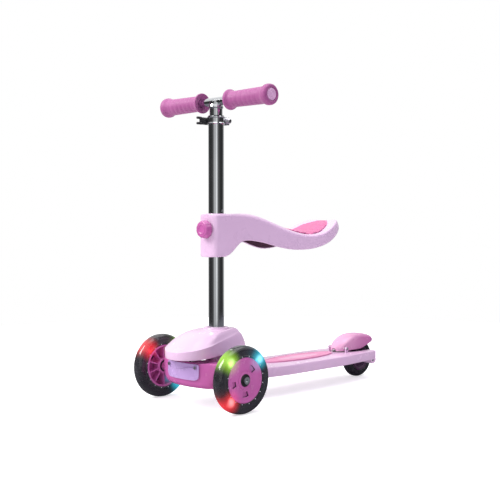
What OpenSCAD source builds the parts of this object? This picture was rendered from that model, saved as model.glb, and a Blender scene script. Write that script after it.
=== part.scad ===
// Three-wheeled lean-to-steer kick scooter for toddlers, with a height-adjustable
// handlebar, a seat that slides on the column, lighted front wheels and a rear foot brake.
// Frame: +Z up, the front faces -Y, +X is the rider's left, the ground is at z = 0.
// The origin is under the middle of the overall length and width.

/* [Front wheels] */
// Radius of each front wheel
front_wheel_r = 60; // [55:1:65]
// Width of each front tyre
front_tyre_w = 24; // [20:1:28]
// Distance between the middles of the two front tyres
track = 224; // [214:1:240]
// Radius of the front hub, where the tyre starts
front_hub_r = 40; // [36:1:44]

/* [Rear wheel] */
// Radius of the rear wheel
rear_wheel_r = 40; // [36:1:44]
// Width of the rear tyre
rear_tyre_w = 22; // [18:1:26]
// Radius of the rear hub, where the tyre starts
rear_hub_r = 26; // [22:1:30]

/* [Deck] */
// Distance from the front axle line to the rear axle
wheelbase = 447; // [430:1:520]
// Half of the widest part of the deck
deck_half_w = 57; // [50:1:66]
// Height of the standing surface
deck_top = 59; // [55:1:64]
// Depth of the deck's side walls
deck_depth = 19; // [16:1:24]
// Thickness of the deck's skin
deck_wall = 4; // [3:0.5:6]

/* [Head] */
// Distance of the column's axis behind the front axle line
column_setback = 42; // [38:1:50]
// Reach of the cover's nose ahead of the front axle line
nose_reach = 65; // [62:1:74]
// Thickness of the cover's shell
cover_wall = 3; // [2:0.5:4]
// Angle of the steering pivot, leaning forward from the vertical
pivot_lean = 45; // [40:1:50]

/* [Column] */
// Outer radius of the fixed column tube
column_r = 14.4; // [13:0.1:16]
// Wall of the fixed column tube
column_wall = 1.2; // [1:0.1:1.8]
// Height of the top end of the fixed column tube
column_top = 527; // [480:1:600]
// Outer radius of the sliding stem
stem_r = 12; // [10:0.5:12]

/* [Handlebar] */
// Height of the handlebar's axis at its lowest setting
bar_z = 554.5; // [550:0.5:680]
// Outer radius of the handlebar tube
bar_r = 7.8; // [7:0.1:9]
// Half of the overall width across the grips
bar_half_w = 146; // [136:1:180]
// Length of each grip
grip_length = 109; // [90:1:112]
// Radius of the flanges on each grip
grip_flange_r = 18.7; // [17:0.1:22]

/* [Seat] */
// Height of the top of the seat's clamp housing
seat_top = 348; // [320:1:400]
// Half of the seat's widest part
seat_half_w = 59; // [50:1:75]
// Distance of the seat's rear edge behind the front axle line
seat_reach = 361; // [330:1:390]
// Thickness of the seat's shell
seat_wall = 3; // [2.5:0.5:4]
// Radius of the seat's locking knob
knob_r = 17; // [14:0.5:19]

/* [Brake] */
// Half of the width of the rear fender
fender_half_w = 21; // [20:0.5:24]
// Thickness of the rear fender
fender_wall = 3; // [2.5:0.5:4]

/* [Fits] */
// Radial play of a shaft in its bore
running_fit = 0.05; // [0.02:0.01:0.1]
// Gap between pieces that pass each other
clearance = 0.4; // [0.3:0.1:0.6]

/* [Hidden] */
$fn = 96;

// Colours of the finishes
light_pink = "#f0d2e8";
magenta = "#c466a8";
hot_pink = "#ee82b4";
lilac = "#c3a8d7";
chrome = "#b8bcc2";
steel = "#8d9196";
smoke = "#2d2d32";
black = "#1c1c1e";
dark_purple = "#4a2a48";

// Main stations along the scooter
axle_y = -(wheelbase + rear_wheel_r - nose_reach) / 2;
column_y = axle_y + column_setback;
rear_axle_y = axle_y + wheelbase;

// Bearings and axles
axle_r = 4;
bearing_r = 11;
bearing_w = 7;
bearing_inner_r = 6;
barrel_wall = 3.5;
front_hub_half = front_tyre_w / 2 - 1;
rear_hub_half = rear_tyre_w / 2;
axle_head_r = 6.5;
axle_head_h = 4;
nut_r = 7.4;
nut_h = 6;
axle_inner_x = 34;
axle_nut_x = 44;
front_gap = front_hub_half - bearing_w;
rear_gap = rear_hub_half - bearing_w;

// Lamps between each front hub and its tyre
light_ring_t = 1.6;
light_ring_half = 5;
light_r = 2.2;
light_reach = front_hub_r + 7;
light_turn = 45;

// Front truck, which carries the two front wheels and tilts on the kingpin
truck_half_w = track / 2 - front_hub_half - 26;
truck_front = 42;
truck_back = 20;
truck_bottom = front_wheel_r - 22;
truck_top = front_wheel_r + 24;
truck_bow_r = 150;
truck_corner_r = 22;
truck_slot = 17;
plate_half_w = 43;
plate_t = 2.5;
plate_drop = 31;
pivot_z = front_wheel_r + 2;
kingpin_r = 4;
bridge_half = 11;
bushing_t = 4;
bushing_r = 9.5;
lug_t = 10;
lug_half_w = 11;
lug_start = bridge_half + bushing_t + 0.2;
lug_end = lug_start + lug_t;

// Head: the plate above the truck, the pedestal behind it and the cover over both
head_plate_z = truck_top + 9;
head_plate_t = 7;
nose_r = 51;
nose_y = axle_y - nose_reach + nose_r;
cover_rear_r = 38;
cover_rear_y = column_y + 22;
cover_front_z = front_wheel_r + 28;
cover_rear_z = cover_front_z + 11;
cover_tilt = 12.8;
cover_lip_z = front_wheel_r + 79.6;
cover_lip_h = 3;
cover_lip_r = 23;
cover_post_r = 4;
cover_screw_places = [[22, axle_y - 26], [-22, axle_y - 26], [0, column_y + 34]];
socket_wall = 5;
bolt_reach = column_r + socket_wall;
socket_bottom = deck_top + 4;
socket_top = cover_lip_z - 6;
column_bottom = socket_bottom + 3;
column_bolt_z = cover_rear_z + 7.3;
column_bolt_r = 3;

// Deck outline: narrow at the neck, widest in the middle, tapering to the fork
deck_bottom = deck_top - deck_depth;
deck_front_y = column_y + 46;
deck_wide_y = column_y + 150;
deck_taper_y = rear_axle_y - 120;
deck_end_y = rear_axle_y + 13;
deck_neck_half_w = deck_half_w - 11;
deck_end_half_w = deck_half_w - 11;
deck_end_corner = 7;
deck_steps = 14;
fork_half_w = 23;
fork_front_y = rear_axle_y - rear_wheel_r - 5;
axle_ear_r = 7.5;
pad_front_y = column_y + 126;
pad_rear_y = fork_front_y - 42;
pad_half_w = 29;
pad_t = 3;
pad_sink = 0.6;

// Brake fender and its hinge
brake_y = rear_axle_y - 61;
brake_z = deck_top + 8;
brake_pin_r = 2.5;
brake_boss_r = 5;
fender_front_y = brake_y - 15;
fender_crown_y = rear_axle_y - 17;
fender_end_y = rear_axle_y + 39;
fender_top = rear_wheel_r + 53;
fender_foot_z = deck_top + 3.5;
fender_skirt_end_y = rear_axle_y - 8;
fender_tail_drop = 12;
fender_steps = 16;
brake_ear_t = 5;
spring_half = 7;
spring_r = 3.4;
spring_wire = 1.2;
// Column, clamp and handlebar
bushing_h = 22;
stem_bottom = bar_z - 310;
stem_wall = 1.5;
bar_wall = 1.4;
clamp_h = 16.5;
clamp_z = column_top - clamp_h + 2;
clamp_t = 1.3;
ear_gap = 3;
ear_t = 4;
ear_out = 14;
rod_r = 2.5;
rod_y = column_y + column_r + ear_out - 6;
rod_z = clamp_z + clamp_h / 2;
cam_x = column_r + 1.6;
cam_r = 6;
lever_length = 52;
lever_t = 5.5;
lever_pin_r = 2;
eye_half = 2.5;
button_z = seat_top + 7;
button_r = 3;
button_hole_r = 3.6;
button_tip_x = sqrt(pow(column_r - column_wall, 2) - pow(button_r, 2)) - 0.15;

// Grips
grip_inner_x = bar_half_w - grip_length;
grip_barrel_r = 14.5;
grip_inner_flange_t = 5;
grip_outer_flange_t = 8;
plug_r = 10.7;
plug_t = 2.5;

// Seat: a clamp housing round the column that runs back into a dished saddle
seat_housing_h = 79;
seat_bottom = seat_top - seat_housing_h;
seat_front_y = column_y - 24;
seat_neck_half_w = 26;
seat_foot_y = column_y + 6;
seat_arch_y = column_y + 44;
seat_arch_z = seat_top - 48;
seat_low_y = axle_y + 228;
seat_low_z = seat_top - 70;
seat_dip_y = axle_y + 245;
seat_dip_z = seat_top - 42;
seat_neck_y = column_y + 62;
seat_wide_y = axle_y + 282;
seat_end_y = axle_y + seat_reach;
seat_rim_z = seat_top - 7;
seat_rim_bottom_z = seat_top - 24;
sleeve_wall = 2;
sleeve_r = column_r + running_fit + sleeve_wall;
seat_steps = 26;
pad_steps = 14;
seat_pad_front_y = axle_y + 180;
seat_pad_rear_y = seat_end_y - 20;
seat_pad_half_w = seat_half_w - 20;
seat_pad_t = 5;
seat_pad_sink = 1;
seat_screw_places = [seat_pad_front_y + 45, seat_pad_rear_y - 45];
knob_z = seat_top - 28;
knob_length = 13;
lock_pin_r = 4;
lock_bush_r = 8;

// Smooth step from 0 to 1
function ease(t) = let(u = min(max(t, 0), 1)) u * u * (3 - 2 * u);
// Smooth curve from z0 at y0 to z1 at y1
function sweep_z(y, y0, z0, y1, z1) = z0 + (z1 - z0) * ease((y - y0) / (y1 - y0));

// Left and right copies of the same piece
module on_side(side) {
    mirror([side < 0 ? 1 : 0, 0, 0]) children();
}

// Round bar along X
module bar_x(r, x0, x1, y, z) {
    translate([x0, y, z]) rotate([0, 90, 0]) cylinder(r = r, h = x1 - x0);
}

// Round bar along Y
module bar_y(r, y0, y1, x, z) {
    translate([x, y0, z]) rotate([-90, 0, 0]) cylinder(r = r, h = y1 - y0);
}

// Turned shape about an axle along X: the profile gives radius and distance outwards
module turned_x(x, y, z) {
    translate([x, y, z]) rotate([0, 90, 0]) rotate_extrude() children();
}

// Frame of the kingpin, whose axis is the local Z
module at_kingpin() {
    translate([0, axle_y, pivot_z]) rotate([pivot_lean, 0, 0]) children();
}

// Ring with a bore, along X
module ring_x(r_out, r_in, x0, x1, y, z) {
    difference() {
        bar_x(r_out, x0, x1, y, z);
        bar_x(r_in, x0 - 1, x1 + 1, y, z);
    }
}

// Half width of the deck at a station along Y
function deck_w(y) = y < deck_wide_y
    ? deck_neck_half_w
        + (deck_half_w - deck_neck_half_w) * ease((y - deck_front_y) / (deck_wide_y - deck_front_y))
    : deck_half_w - (deck_half_w - deck_end_half_w) * ease((y - deck_taper_y) / (deck_end_y - deck_taper_y));

function deck_station(i) = deck_front_y + (deck_end_y - deck_end_corner - deck_front_y) * i / deck_steps;

module deck_outline(inset) {
    left = [for (i = [0:deck_steps]) [deck_w(deck_station(i)) - inset, deck_station(i)]];
    right = [for (i = [deck_steps:-1:0]) [-deck_w(deck_station(i)) + inset, deck_station(i)]];
    back_y = deck_end_y - inset;
    back_x = deck_end_half_w - deck_end_corner - inset;
    polygon(concat(left, [[back_x, back_y], [-back_x, back_y]], right));
}

// The slab that the rider stands on, with eased edges
module deck_slab() {
    hull() {
        translate([0, 0, deck_bottom]) linear_extrude(1) deck_outline(3);
        translate([0, 0, deck_bottom + 4]) linear_extrude(deck_depth - 6.5) deck_outline(0);
        translate([0, 0, deck_top - 1]) linear_extrude(1) deck_outline(2.5);
    }
}

// The raised neck that carries the head
module pedestal() {
    hull() {
        translate([0, cover_rear_y, cover_rear_z - 4]) cylinder(r = cover_rear_r - 1, h = 3.4, $fn = 32);
        translate([0, column_y + 8, cover_rear_z - 4]) cylinder(r = 18, h = 3.4, $fn = 32);
        translate([0, column_y + 42, deck_bottom + 1])
            cylinder(r = deck_neck_half_w - 1, h = deck_depth, $fn = 32);
        translate([0, column_y + 10, deck_bottom + 1]) cylinder(r = 20, h = deck_depth, $fn = 32);
    }
}

// Plate over the truck, with the upper kingpin lug under it
module head_plate() {
    hull() {
        translate([0, nose_y + 6, head_plate_z]) cylinder(r = 32, h = head_plate_t - 1, $fn = 32);
        translate([0, column_y, head_plate_z]) cylinder(r = 30, h = head_plate_t - 1, $fn = 32);
    }
    translate([-lug_half_w, axle_y - 26, pivot_z + 20])
        cube([2 * lug_half_w, 14, head_plate_z - pivot_z - 19]);
}

// A block that holds one end of the kingpin
module kingpin_lug(z0) {
    at_kingpin() translate([-lug_half_w, -11, z0]) cube([2 * lug_half_w, 22, lug_t]);
}

// Rows of pockets under the deck leave crossing ribs
module deck_pockets() {
    rows = 6;
    first_y = deck_front_y + 44;
    last_y = fork_front_y - 8;
    pitch = (last_y - first_y) / rows;
    for (row = [0:rows - 1]) for (column = [-1:1]) {
        cell = (2 * deck_half_w - 34) / 3;
        translate([column * cell - cell / 2 + 1.5, first_y + row * pitch + 1.5, deck_bottom - 1])
            cube([cell - 3, pitch - 3, deck_depth - deck_wall + 1]);
    }
}

module deck_shell() {
    color(light_pink) difference() {
        union() {
            deck_slab();
            pedestal();
            head_plate();
            kingpin_lug(lug_start);
            kingpin_lug(-lug_end);
            translate([-lug_half_w, axle_y + 20, deck_bottom + 1]) cube([2 * lug_half_w, 20, 16]);
            translate([0, column_y, socket_bottom])
                cylinder(r = column_r + socket_wall, h = socket_top - socket_bottom);
            for (side = [-1, 1]) {
                on_side(side) bar_x(axle_ear_r, fork_half_w, deck_end_half_w - 1, rear_axle_y, rear_wheel_r);
                on_side(side) brake_ear();
            }
        }
        deck_pockets();
        translate([-fork_half_w, fork_front_y, deck_bottom - 10])
            cube([2 * fork_half_w, deck_end_y - fork_front_y + 10, deck_depth + 30]);
        translate([0, column_y, column_bottom]) cylinder(r = column_r + running_fit, h = 100);
        bar_x(column_bolt_r + 0.1, -30, 30, column_y, column_bolt_z);
        at_kingpin() translate([0, 0, -60]) cylinder(r = kingpin_r + running_fit, h = 120);
        at_kingpin() translate([0, 0, lug_end]) cylinder(r = nut_r + 1, h = 14);
        at_kingpin() translate([0, 0, -lug_end - 30]) cylinder(r = nut_r + 1, h = 30);
        bar_x(axle_r + 0.1, -80, 80, rear_axle_y, rear_wheel_r);
        for (side = [-1, 1]) {
            on_side(side) bar_x(5.9, deck_end_half_w - 5, deck_end_half_w + 10, rear_axle_y, rear_wheel_r);
            on_side(side) bar_x(brake_pin_r + 0.1, fender_half_w - 2, fender_half_w + 10, brake_y, brake_z);
        }
        for (p = cover_screw_places) {
            translate([p[0], p[1], 0]) cylinder(r = 1.6, h = 200);
            translate([p[0], p[1], 0]) cylinder(r = 3.4, h = head_plate_z);
        }
        translate([0, 0, deck_top - pad_sink]) linear_extrude(pad_t) pad_outline(pad_half_w + 0.2, 0.2);
    }
}

// Ear that holds one end of the brake pin
module brake_ear() {
    x0 = fender_half_w + clearance;
    bar_x(brake_boss_r, x0, x0 + brake_ear_t, brake_y, brake_z);
    translate([x0, brake_y - brake_boss_r, deck_top - 2])
        cube([brake_ear_t, 2 * brake_boss_r, brake_z - deck_top + 2]);
}

// Long oval of the foot pad
module pad_outline(half_w, grow) {
    middle = (pad_front_y + pad_rear_y) / 2;
    half_l = (pad_rear_y - pad_front_y) / 2 + grow;
    steps = 40;
    polygon([for (i = [0:steps - 1]) let(a = 360 * i / steps) [half_w * cos(a), middle + half_l * sin(a)]]);
}

module deck_pad() {
    color(hot_pink) translate([0, 0, deck_top - pad_sink]) linear_extrude(pad_t) pad_outline(pad_half_w, 0);
}

// A level or tilted disc, one of those that the cover is blended from
module cover_disc(y, z, r, tilt) {
    translate([0, y, z]) rotate([tilt, 0, 0]) cylinder(r = r, h = 0.5, $fn = 48);
}

// Outer form of the head cover; inset makes the hollow inside it
module cover_form(inset) {
    crease_z = cover_front_z + 27;
    hull() {
        cover_disc(nose_y, cover_front_z - 4, nose_r - 2 - inset, 0);
        cover_disc(nose_y, crease_z - inset, nose_r - inset, cover_tilt);
        cover_disc(cover_rear_y, cover_rear_z - 4, cover_rear_r + 1 - inset, 0);
        cover_disc(cover_rear_y - 13, crease_z + 15 - inset, cover_rear_r - 2 - inset, cover_tilt);
        cover_disc(column_y, cover_lip_z - cover_lip_h - inset, cover_lip_r + 2 - inset, 0);
    }
}

// Everything below the cover's rim, which rises from the nose and is level behind the axle
module below_cover_rim() {
    nose_tip = nose_y - nose_r;
    across(nose_r + 10) polygon([[nose_tip - 20, 0], [nose_tip - 20, cover_front_z - 5], [nose_tip,
        cover_front_z - 1],
        [axle_y + 4, cover_rear_z], [cover_rear_y + 60, cover_rear_z], [cover_rear_y + 60, 0]]);
}

module front_cover() {
    color(light_pink) difference() {
        union() {
            difference() {
                cover_form(0);
                translate([0, 0, -0.6]) cover_form(cover_wall);
                below_cover_rim();
            }
            translate([0, column_y, cover_lip_z - cover_lip_h - 4])
                cylinder(r = cover_lip_r, h = cover_lip_h + 4);
            intersection() {
                cover_form(cover_wall / 3);
                for (p = cover_screw_places)
                    translate([p[0], p[1], head_plate_z + head_plate_t + 0.1])
                        cylinder(r = cover_post_r, h = 60);
            }
        }
        translate([0, column_y, socket_top - 30]) cylinder(r = column_r + socket_wall + clearance, h = 30);
        translate([0, column_y, cover_lip_z - 30]) cylinder(r = column_r + clearance, h = 40);
        for (p = cover_screw_places) translate([p[0], p[1], head_plate_z])
            cylinder(r = 1.5, h = head_plate_t + 9);
    }
}

module cover_screws() {
    color(steel) for (p = cover_screw_places) {
        translate([p[0], p[1], head_plate_z - (p[1] < axle_y ? 2 : 0)])
            cylinder(r = 1.5, h = head_plate_t + 8);
        translate([p[0], p[1], head_plate_z - 2.2]) cylinder(r = 3, h = 2.2);
    }
}

module column_tube() {
    color(chrome) difference() {
        translate([0, column_y, column_bottom]) cylinder(r = column_r, h = column_top - column_bottom);
        translate([0, column_y, column_bottom - 1]) cylinder(r = column_r - column_wall, h = column_top);
        bar_x(column_bolt_r + 0.1, -30, 30, column_y, column_bolt_z);
        bar_x(button_hole_r, 0, 30, column_y, button_z);
    }
}

module column_bolt() {
    color(steel) {
        bar_x(column_bolt_r, -bolt_reach - 6, bolt_reach + 0.1, column_y, column_bolt_z);
        bar_x(5.5, bolt_reach + 0.1, bolt_reach + 3.5, column_y, column_bolt_z);
    }
}

module column_nut() {
    color(steel) difference() {
        translate([-bolt_reach - 5.1, column_y, column_bolt_z]) rotate([0, 90, 0])
            cylinder(r = 5.7, h = 5, $fn = 6);
        bar_x(column_bolt_r, -60, 0, column_y, column_bolt_z);
    }
}

module column_bushing() {
    color(black) difference() {
        union() {
            translate([0, column_y, column_top - bushing_h])
                cylinder(r = column_r - column_wall, h = bushing_h);
            translate([0, column_y, column_top]) cylinder(r = column_r, h = 1.5);
        }
        translate([0, column_y, column_top - 60]) cylinder(r = stem_r + running_fit, h = 100);
    }
}

module collar_clamp() {
    band_r = column_r + clamp_t;
    color(chrome) difference() {
        union() {
            translate([0, column_y, clamp_z]) cylinder(r = band_r, h = clamp_h - 2);
            for (side = [-1, 1]) on_side(side)
                translate([ear_gap / 2, column_y, clamp_z]) cube([ear_t, column_r + ear_out, clamp_h - 2]);
        }
        translate([0, column_y, clamp_z - 1]) cylinder(r = column_r, h = clamp_h + 5);
        translate([-ear_gap / 2, column_y, clamp_z - 1]) cube([ear_gap, 60, clamp_h + 5]);
        bar_x(rod_r + 0.1, -30, 30, rod_y, rod_z - 1);
    }
}

// Tie rod of the clamp, with an eye round the lever's pin
module clamp_rod() {
    color(steel) difference() {
        union() {
            bar_x(rod_r, -cam_x + 2, 15, rod_y, rod_z - 1);
            translate([-cam_x, rod_y, rod_z - 1 - eye_half]) cylinder(r = 4, h = 2 * eye_half);
        }
        translate([-cam_x, rod_y, clamp_z - 1]) cylinder(r = lever_pin_r + running_fit, h = clamp_h + 5);
    }
}

module clamp_nut() {
    color(chrome) difference() {
        bar_x(5.5, ear_gap / 2 + ear_t + 0.1, 14, rod_y, rod_z - 1);
        bar_x(rod_r, 0, 30, rod_y, rod_z - 1);
    }
}

// Quick-release lever: a forked cam on an upright pin, with a channelled handle that lies forward
// beside the column
module clamp_lever() {
    handle_x = -cam_x - cam_r;
    color(black) difference() {
        union() {
            translate([-cam_x, rod_y, clamp_z]) cylinder(r = cam_r, h = clamp_h - 2);
            translate([handle_x, rod_y - lever_length, clamp_z]) cube([lever_t, lever_length, clamp_h - 2]);
        }
        translate([-cam_x, rod_y, clamp_z - 1]) cylinder(r = lever_pin_r, h = clamp_h + 5);
        translate([-cam_x, rod_y, rod_z - 1 - eye_half - 0.3])
            cylinder(r = cam_r + 2, h = 2 * eye_half + 0.6);
        translate([handle_x - 1, rod_y - lever_length - 1, clamp_z + 4.5])
            cube([4, lever_length - 12, clamp_h - 11]);
    }
}

module clamp_cam_pin() {
    color(steel) translate([-cam_x, rod_y, clamp_z]) cylinder(r = lever_pin_r, h = clamp_h - 2);
}

module kingpin() {
    color(steel) at_kingpin() {
        translate([0, 0, -lug_end - 0.1]) cylinder(r = kingpin_r, h = 2 * lug_end + 8);
        translate([0, 0, -lug_end - 4.6]) cylinder(r = 7, h = 4.5);
    }
}

module kingpin_nut() {
    color(steel) at_kingpin() difference() {
        translate([0, 0, lug_end + 0.1]) cylinder(r = nut_r, h = nut_h, $fn = 6);
        cylinder(r = kingpin_r, h = 90);
    }
}

module steering_bushings() {
    color("white") at_kingpin() for (z0 = [bridge_half + 0.1, -bridge_half - bushing_t - 0.1]) difference() {
        translate([0, 0, z0]) cylinder(r = bushing_r, h = bushing_t);
        translate([0, 0, z0 - 1]) cylinder(r = kingpin_r + running_fit, h = bushing_t + 2);
    }
}

// Axle housing of the truck, bowed in front, with a slot for the kingpin lugs
module truck_housing() {
    body_h = truck_top - truck_bottom;
    color(magenta) difference() {
        union() {
            intersection() {
                translate([0, axle_y - truck_front + truck_bow_r, truck_bottom])
                    cylinder(r = truck_bow_r, h = body_h);
                translate([0, axle_y + truck_back, 0]) rotate([90, 0, 0])
                    linear_extrude(truck_front + truck_back + 1) truck_face();
            }
            for (side = [-1, 1]) on_side(side) {
                bar_x(9, truck_half_w - 20, track / 2 - front_hub_half - 1, axle_y, front_wheel_r);
                bar_x(bearing_inner_r - 0.4, truck_half_w, track / 2 - front_hub_half - 0.05, axle_y,
                    front_wheel_r);
            }
        }
        translate([-truck_slot, axle_y - truck_front + 8, 0]) cube([2 * truck_slot, 100, 200]);
        truck_bores();
    }
    color(magenta) at_kingpin() difference() {
        translate([-truck_slot, -10, -bridge_half]) cube([2 * truck_slot, 20, 2 * bridge_half]);
        translate([0, 0, -50]) cylinder(r = kingpin_r + running_fit, h = 100);
    }
}

// Front view of the truck: a block with rounded lower corners
module truck_face() {
    translate([-truck_half_w + truck_corner_r, truck_bottom])
        square([2 * (truck_half_w - truck_corner_r), truck_top - truck_bottom]);
    translate([-truck_half_w, truck_bottom + truck_corner_r])
        square([2 * truck_half_w, truck_top - truck_bottom - truck_corner_r]);
    for (side = [-1, 1])
        translate([side * (truck_half_w - truck_corner_r),
            truck_bottom + truck_corner_r]) circle(r = truck_corner_r);
}

module truck_bores() {
    for (side = [-1, 1]) on_side(side) {
        bar_x(axle_r, axle_inner_x - 2, 200, axle_y, front_wheel_r);
        translate([axle_nut_x - 0.2, axle_y - nut_r * 0.87, front_wheel_r - nut_r])
            cube([nut_h + 1, 40, 2 * nut_r]);
        bar_y(1.5, axle_y - truck_front - 5, axle_y - truck_front + 18, plate_half_w - 7, truck_top - 8);
    }
}

module truck_plate() {
    plate_bottom = truck_top - plate_drop;
    color(lilac) difference() {
        intersection() {
            difference() {
                translate([0, axle_y - truck_front + truck_bow_r, 0])
                    cylinder(r = truck_bow_r + plate_t, h = 200);
                translate([0, axle_y - truck_front + truck_bow_r, -1]) cylinder(r = truck_bow_r, h = 300);
            }
            translate([0, axle_y, 0]) rotate([90, 0, 0]) linear_extrude(100) union() {
                translate([-plate_half_w, plate_bottom + 10]) square([2 * plate_half_w, plate_drop - 12]);
                translate([-plate_half_w + 10, plate_bottom]) square([2 * plate_half_w - 20, 20]);
                for (side = [-1, 1])
                    translate([side * (plate_half_w - 10), plate_bottom + 10]) circle(r = 10);
            }
        }
        for (side = [-1, 1]) bar_y(1.5, axle_y - 60, axle_y, side * (plate_half_w - 7), truck_top - 8);
    }
}

module truck_screws() {
    color(steel) for (side = [-1, 1]) {
        face_y = axle_y - truck_front + truck_bow_r - sqrt(pow(truck_bow_r + plate_t,
            2) - pow(plate_half_w - 7, 2));
        bar_y(1.5, face_y - 0.6, face_y + 14, side * (plate_half_w - 7), truck_top - 8);
        bar_y(3, face_y - 2, face_y - 0.6, side * (plate_half_w - 7), truck_top - 8);
    }
}

// Bolt that a front wheel turns on
module front_axle(side) {
    end_x = track / 2 + front_hub_half + 0.3;
    color(chrome) on_side(side) {
        bar_x(axle_r, axle_inner_x, end_x, axle_y, front_wheel_r);
        difference() {
            bar_x(axle_head_r, end_x, end_x + axle_head_h, axle_y, front_wheel_r);
            translate([end_x + 1.5, axle_y, front_wheel_r]) rotate([0, 90, 0])
                cylinder(r = 3, h = 10, $fn = 6);
        }
    }
}

module left_axle() { front_axle(1); }
module right_axle() { front_axle(-1); }

module axle_nuts() {
    color(steel) for (side = [-1, 1]) on_side(side) difference() {
        translate([axle_nut_x, axle_y, front_wheel_r]) rotate([0, 90, 0])
            cylinder(r = nut_r - 0.1, h = nut_h, $fn = 6);
        bar_x(axle_r, 0, 100, axle_y, front_wheel_r);
    }
}

// Tube that keeps a wheel's two bearings apart
module wheel_spacers() {
    color(steel) for (side = [-1, 1]) on_side(side)
        ring_x(bearing_inner_r, axle_r, track / 2 - front_gap + 0.05, track / 2 + front_gap - 0.05,
            axle_y, front_wheel_r);
}

// Ring magnet that drives the lights as the wheel turns round it
module wheel_magnets() {
    color(black) for (side = [-1, 1]) on_side(side)
        ring_x(9, bearing_inner_r, track / 2 - 2.5, track / 2 + 2.5, axle_y, front_wheel_r);
}

// Spoked hub: a bearing barrel and a rim, joined by a face outside and by ribs inside
module wheel_hub(hub_r, half, gap, face_t) {
    barrel_r = bearing_r + barrel_wall;
    difference() {
        union() {
            rotate_extrude() union() {
                translate([hub_r - 4, -half]) square([4, 2 * half]);
                translate([bearing_r, half - face_t]) square([hub_r - bearing_r, face_t]);
                translate([bearing_r, -half]) square([barrel_wall, 2 * half]);
                translate([9.5, -gap]) square([barrel_r - 9.5, 2 * gap]);
            }
            for (i = [0:7]) rotate([0, 0, 45 * i]) translate([barrel_r - 1, -1.1, -half + 3])
                cube([hub_r - barrel_r - 2, 2.2, 2 * half - 3.5]);
        }
        for (i = [0:2]) rotate([0, 0, 120 * i + 35])
            translate([(barrel_r + hub_r - 4) / 2 + 1, 0, half - 1.2]) cylinder(r = 4.5, h = 5);
    }
}

module front_hub(side) {
    color(magenta) on_side(side) translate([track / 2, axle_y, front_wheel_r]) rotate([0, 90, 0])
        wheel_hub(front_hub_r, front_hub_half, front_gap, 3);
}

module left_hub() { front_hub(1); }
module right_hub() { front_hub(-1); }

// Tyre with a crowned tread
module tyre_form(r_out, r_in, w) {
    crown_r = w * 0.62;
    rotate_extrude() intersection() {
        translate([r_in, -w / 2]) square([r_out - r_in, w]);
        translate([r_out - crown_r, 0]) union() {
            circle(r = crown_r);
            translate([-r_out, -w / 2]) square([r_out, w]);
        }
    }
}

module front_tyre(side) {
    color(smoke) on_side(side) translate([track / 2, axle_y, front_wheel_r]) rotate([0, 90, 0]) difference() {
        tyre_form(front_wheel_r, front_hub_r, front_tyre_w);
        translate([0, 0, -light_ring_half]) cylinder(r = front_hub_r + light_ring_t, h = 2 * light_ring_half);
        light_bulbs(light_r, light_reach);
    }
}

module left_tyre() { front_tyre(1); }
module right_tyre() { front_tyre(-1); }

// Four small bulbs that point out into the tyre
module light_bulbs(r, reach) {
    for (i = [0:3]) rotate([0, 0, 90 * i + light_turn]) rotate([0, 90, 0]) cylinder(r = r, h = reach);
}

module front_lights(side) {
    color("#e8f4f0") on_side(side) translate([track / 2, axle_y, front_wheel_r]) rotate([0, 90, 0])
        difference() {
        union() {
            translate([0, 0, -light_ring_half])
                cylinder(r = front_hub_r + light_ring_t, h = 2 * light_ring_half);
            light_bulbs(light_r, light_reach);
        }
        translate([0, 0, -20]) cylinder(r = front_hub_r, h = 40);
    }
}

module left_lights() { front_lights(1); }
module right_lights() { front_lights(-1); }

// Two ball bearings, one at each end of the hub
module bearing_pair(half) {
    for (z0 = [half - bearing_w, -half]) difference() {
        translate([0, 0, z0]) cylinder(r = bearing_r, h = bearing_w);
        translate([0, 0, z0 - 1]) cylinder(r = axle_r + running_fit, h = bearing_w + 2);
    }
}

module front_bearings(side) {
    color(black) on_side(side) translate([track / 2, axle_y, front_wheel_r]) rotate([0, 90, 0])
        bearing_pair(front_hub_half);
}

module left_bearings() { front_bearings(1); }
module right_bearings() { front_bearings(-1); }

module rear_hub() {
    color(dark_purple) translate([0, rear_axle_y, rear_wheel_r]) rotate([0, 90, 0])
        wheel_hub(rear_hub_r, rear_hub_half, rear_gap, 3);
}

module rear_tyre() {
    color(black) translate([0, rear_axle_y, rear_wheel_r]) rotate([0, 90, 0])
        tyre_form(rear_wheel_r, rear_hub_r, rear_tyre_w);
}

module rear_bearings() {
    color(black) translate([0, rear_axle_y, rear_wheel_r]) rotate([0, 90, 0]) bearing_pair(rear_hub_half);
}

module rear_axle() {
    color(chrome) {
        bar_x(axle_r, -deck_end_half_w + 1, deck_end_half_w - 5, rear_axle_y, rear_wheel_r);
        bar_x(5.6, deck_end_half_w - 5, deck_end_half_w - 1.5, rear_axle_y, rear_wheel_r);
    }
}

module rear_axle_nut() {
    color(steel) difference() {
        translate([-deck_end_half_w + 0.9, rear_axle_y, rear_wheel_r]) rotate([0, 90, 0])
            cylinder(r = 5.6, h = 4, $fn = 6);
        bar_x(axle_r, -90, 0, rear_axle_y, rear_wheel_r);
    }
}

module rear_spacers() {
    color(steel) {
        for (side = [-1, 1]) on_side(side)
            ring_x(bearing_inner_r, axle_r, rear_hub_half + 0.05, fork_half_w, rear_axle_y, rear_wheel_r);
        ring_x(bearing_inner_r, axle_r, -rear_gap + 0.05, rear_gap - 0.05, rear_axle_y, rear_wheel_r);
    }
}

// Height of the fender's outer face along Y
function fender_z(y) = y < fender_crown_y
    ? fender_foot_z + 0.5
        + (fender_top - fender_foot_z - 0.5) * sin(90 * (y - fender_front_y) / (fender_crown_y - fender_front_y))
    : fender_top - fender_tail_drop * pow((y - fender_crown_y) / (fender_end_y - fender_crown_y), 2);

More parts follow.
